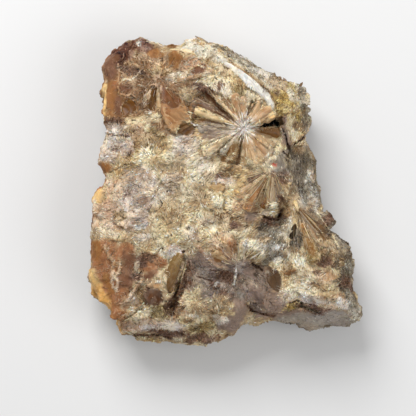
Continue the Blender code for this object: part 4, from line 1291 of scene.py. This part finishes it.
def crusts(skin):
    """All the small crystals, on the face and on the sides and back."""
    face = Paint(skin.middle)
    cover = ROCK_NUMBERS[np.where(skin.front > 0.5, face.kind, side_rocks(skin.middle)), COVER]
    cover = cover * (1 - 0.95 * face.crystal * (skin.front > 0.5))
    on_face = skin.area * cover * (skin.front > 0.5)
    flat = ramp(0.3, 0.7, skin.normal[:, 2])
    grainy = is_one_of(face.kind, GRAINY) + 0.25
    elsewhere = skin.area * cover * (skin.front <= 0.5) * (skin.middle[:, 2] > 0.6)
    return [
        small_crystals("face_flakes", skin, FLAKES, BLADE, (1.2, 1.1, 0.15, 0.7, 0.48), on_face * flat, 10),
        small_crystals("face_blades", skin, BLADES, BLADE, (0.9, 0.85, 0.40, 0.9, 0.52), on_face, 11),
        small_crystals("face_splinters", skin, SPLINTERS, SPLINTER, (0.45, 0.8, 0.8, 1.5, 0.6),
                       on_face * grainy, 12),
        small_crystals("side_grains", skin, GRAINS, BLADE, (0.9, 1.2, 0.5, 1.0, 0.14), elsewhere, 13),
    ]


# ---------------------------------------------------------------- materials


def node(tree, kind, **settings):
    made = tree.nodes.new(kind)
    for name, value in settings.items():
        if name.startswith("in_"):
            made.inputs[name[3:].replace("_", " ")].default_value = value
        else:
            setattr(made, name, value)
    return made


def gypsum(name, contrast, bump_depth, rough_range, glow):
    """Gypsum with its own tint and gloss per point, a fine grain, and light that seeps in a little."""
    material = bpy.data.materials.new(name)
    material.use_nodes = True
    tree = material.node_tree
    shader = tree.nodes["Principled BSDF"]
    link = tree.links.new
    tint = node(tree, "ShaderNodeAttribute", attribute_name="tint")
    gloss = node(tree, "ShaderNodeAttribute", attribute_name="gloss")
    lines = node(tree, "ShaderNodeAttribute", attribute_name="lines")
    grain = node(tree, "ShaderNodeTexNoise", in_Scale=1.0, in_Detail=3.0, in_Roughness=0.65)
    link(lines.outputs["Vector"], grain.inputs["Vector"])
    bright = node(tree, "ShaderNodeMapRange", in_From_Min=0.25, in_From_Max=0.75,
                  in_To_Min=1 - contrast, in_To_Max=1 + contrast)
    link(grain.outputs["Fac"], bright.inputs["Value"])
    tinted = node(tree, "ShaderNodeVectorMath", operation="SCALE")
    link(tint.outputs["Color"], tinted.inputs[0])
    link(bright.outputs["Result"], tinted.inputs["Scale"])
    link(tinted.outputs["Vector"], shader.inputs["Base Color"])
    rough = node(tree, "ShaderNodeMapRange", in_To_Min=rough_range[0], in_To_Max=rough_range[1])
    link(gloss.outputs["Fac"], rough.inputs["Value"])
    link(rough.outputs["Result"], shader.inputs["Roughness"])
    bump = node(tree, "ShaderNodeBump", in_Strength=0.5, in_Distance=bump_depth * MM)
    link(grain.outputs["Fac"], bump.inputs["Height"])
    link(bump.outputs["Normal"], shader.inputs["Normal"])
    shader.inputs["IOR"].default_value = 1.52
    shader.inputs["Specular IOR Level"].default_value = 0.25
    shader.inputs["Subsurface Weight"].default_value = glow
    shader.inputs["Subsurface Radius"].default_value = (1.0, 0.55, 0.25)
    shader.inputs["Subsurface Scale"].default_value = 0.25 * MM
    return material


# ---------------------------------------------------------------- studio


def studio():
    bpy.ops.mesh.primitive_plane_add(size=3.0, location=(0, 0, -0.0002))
    floor = bpy.context.object
    floor.name = "studio_floor"
    paper = bpy.data.materials.new("pale_paper")
    paper.use_nodes = True
    shader = paper.node_tree.nodes["Principled BSDF"]
    shader.inputs["Base Color"].default_value = (0.72, 0.72, 0.72, 1)
    shader.inputs["Roughness"].default_value = 0.9
    floor.data.materials.append(paper)

    def lamp(name, place, aim, size, power):
        light = bpy.data.lights.new(name, "AREA")
        light.shape = "SQUARE"
        light.size = size
        light.energy = power
        made = bpy.data.objects.new(name, light)
        bpy.context.scene.collection.objects.link(made)
        made.location = place
        made.rotation_euler = (Vector(aim) - Vector(place)).to_track_quat("-Z", "Y").to_euler()

    lamp("key_light", (-0.14, 0.33, 0.35), (0, 0.05, 0), 0.26, 2.3)
    lamp("fill_light", (0.36, -0.14, 0.46), (0, 0, 0), 0.4, 1.2)
    world = bpy.data.worlds.new("soft_room")
    bpy.context.scene.world = world
    world.use_nodes = True
    world.node_tree.nodes["Background"].inputs["Color"].default_value = (1, 1, 1, 1)
    world.node_tree.nodes["Background"].inputs["Strength"].default_value = 0.40
    bpy.context.scene.view_settings.view_transform = "Standard"


def camera():
    lens = bpy.data.cameras.new("photo_camera")
    made = bpy.data.objects.new("photo_camera", lens)
    bpy.context.scene.collection.objects.link(made)
    bpy.context.scene.camera = made
    lens.sensor_width = SENSOR
    lens.lens = SENSOR * (CAMERA_HEIGHT - FACE_HEIGHT) / (PICTURE_SIDE * UNIT * MM)
    x, y = in_mm(PICTURE_SIDE / 2, PICTURE_SIDE / 2)
    made.location = (x * MM, y * MM, CAMERA_HEIGHT)
    lens.clip_end = 10.0


def finish_piece(piece, material):
    piece.data.materials.append(material)
    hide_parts("daisy_gypsum")
    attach(piece, "root")


mass = build_mass()
finish_piece(mass, gypsum("gypsum_rock", 0.28, 0.06, (0.75, 0.30), 0.20))
crystal = gypsum("gypsum_crystal", 0.25, 0.04, (0.60, 0.20), 0.30)
crust = gypsum("gypsum_crust", 0.26, 0.02, (0.60, 0.20), 0.35)
ground = Ground(mass)
rng = np.random.default_rng(5)
finish_piece(mesh_object("daisy_needles", *joined(needles(ground, rng) + spikes(ground, rng))), crystal)
finish_piece(mesh_object("crystal_plates", *joined(all_slabs(ground, rng))), crystal)
skin = Skin(mass)
finish_piece(flake_edges(skin, ground, FLAKE_EDGES, flaky_places(skin), 20), crust)
for piece in crusts(skin):
    finish_piece(piece, crust)
studio()
camera()
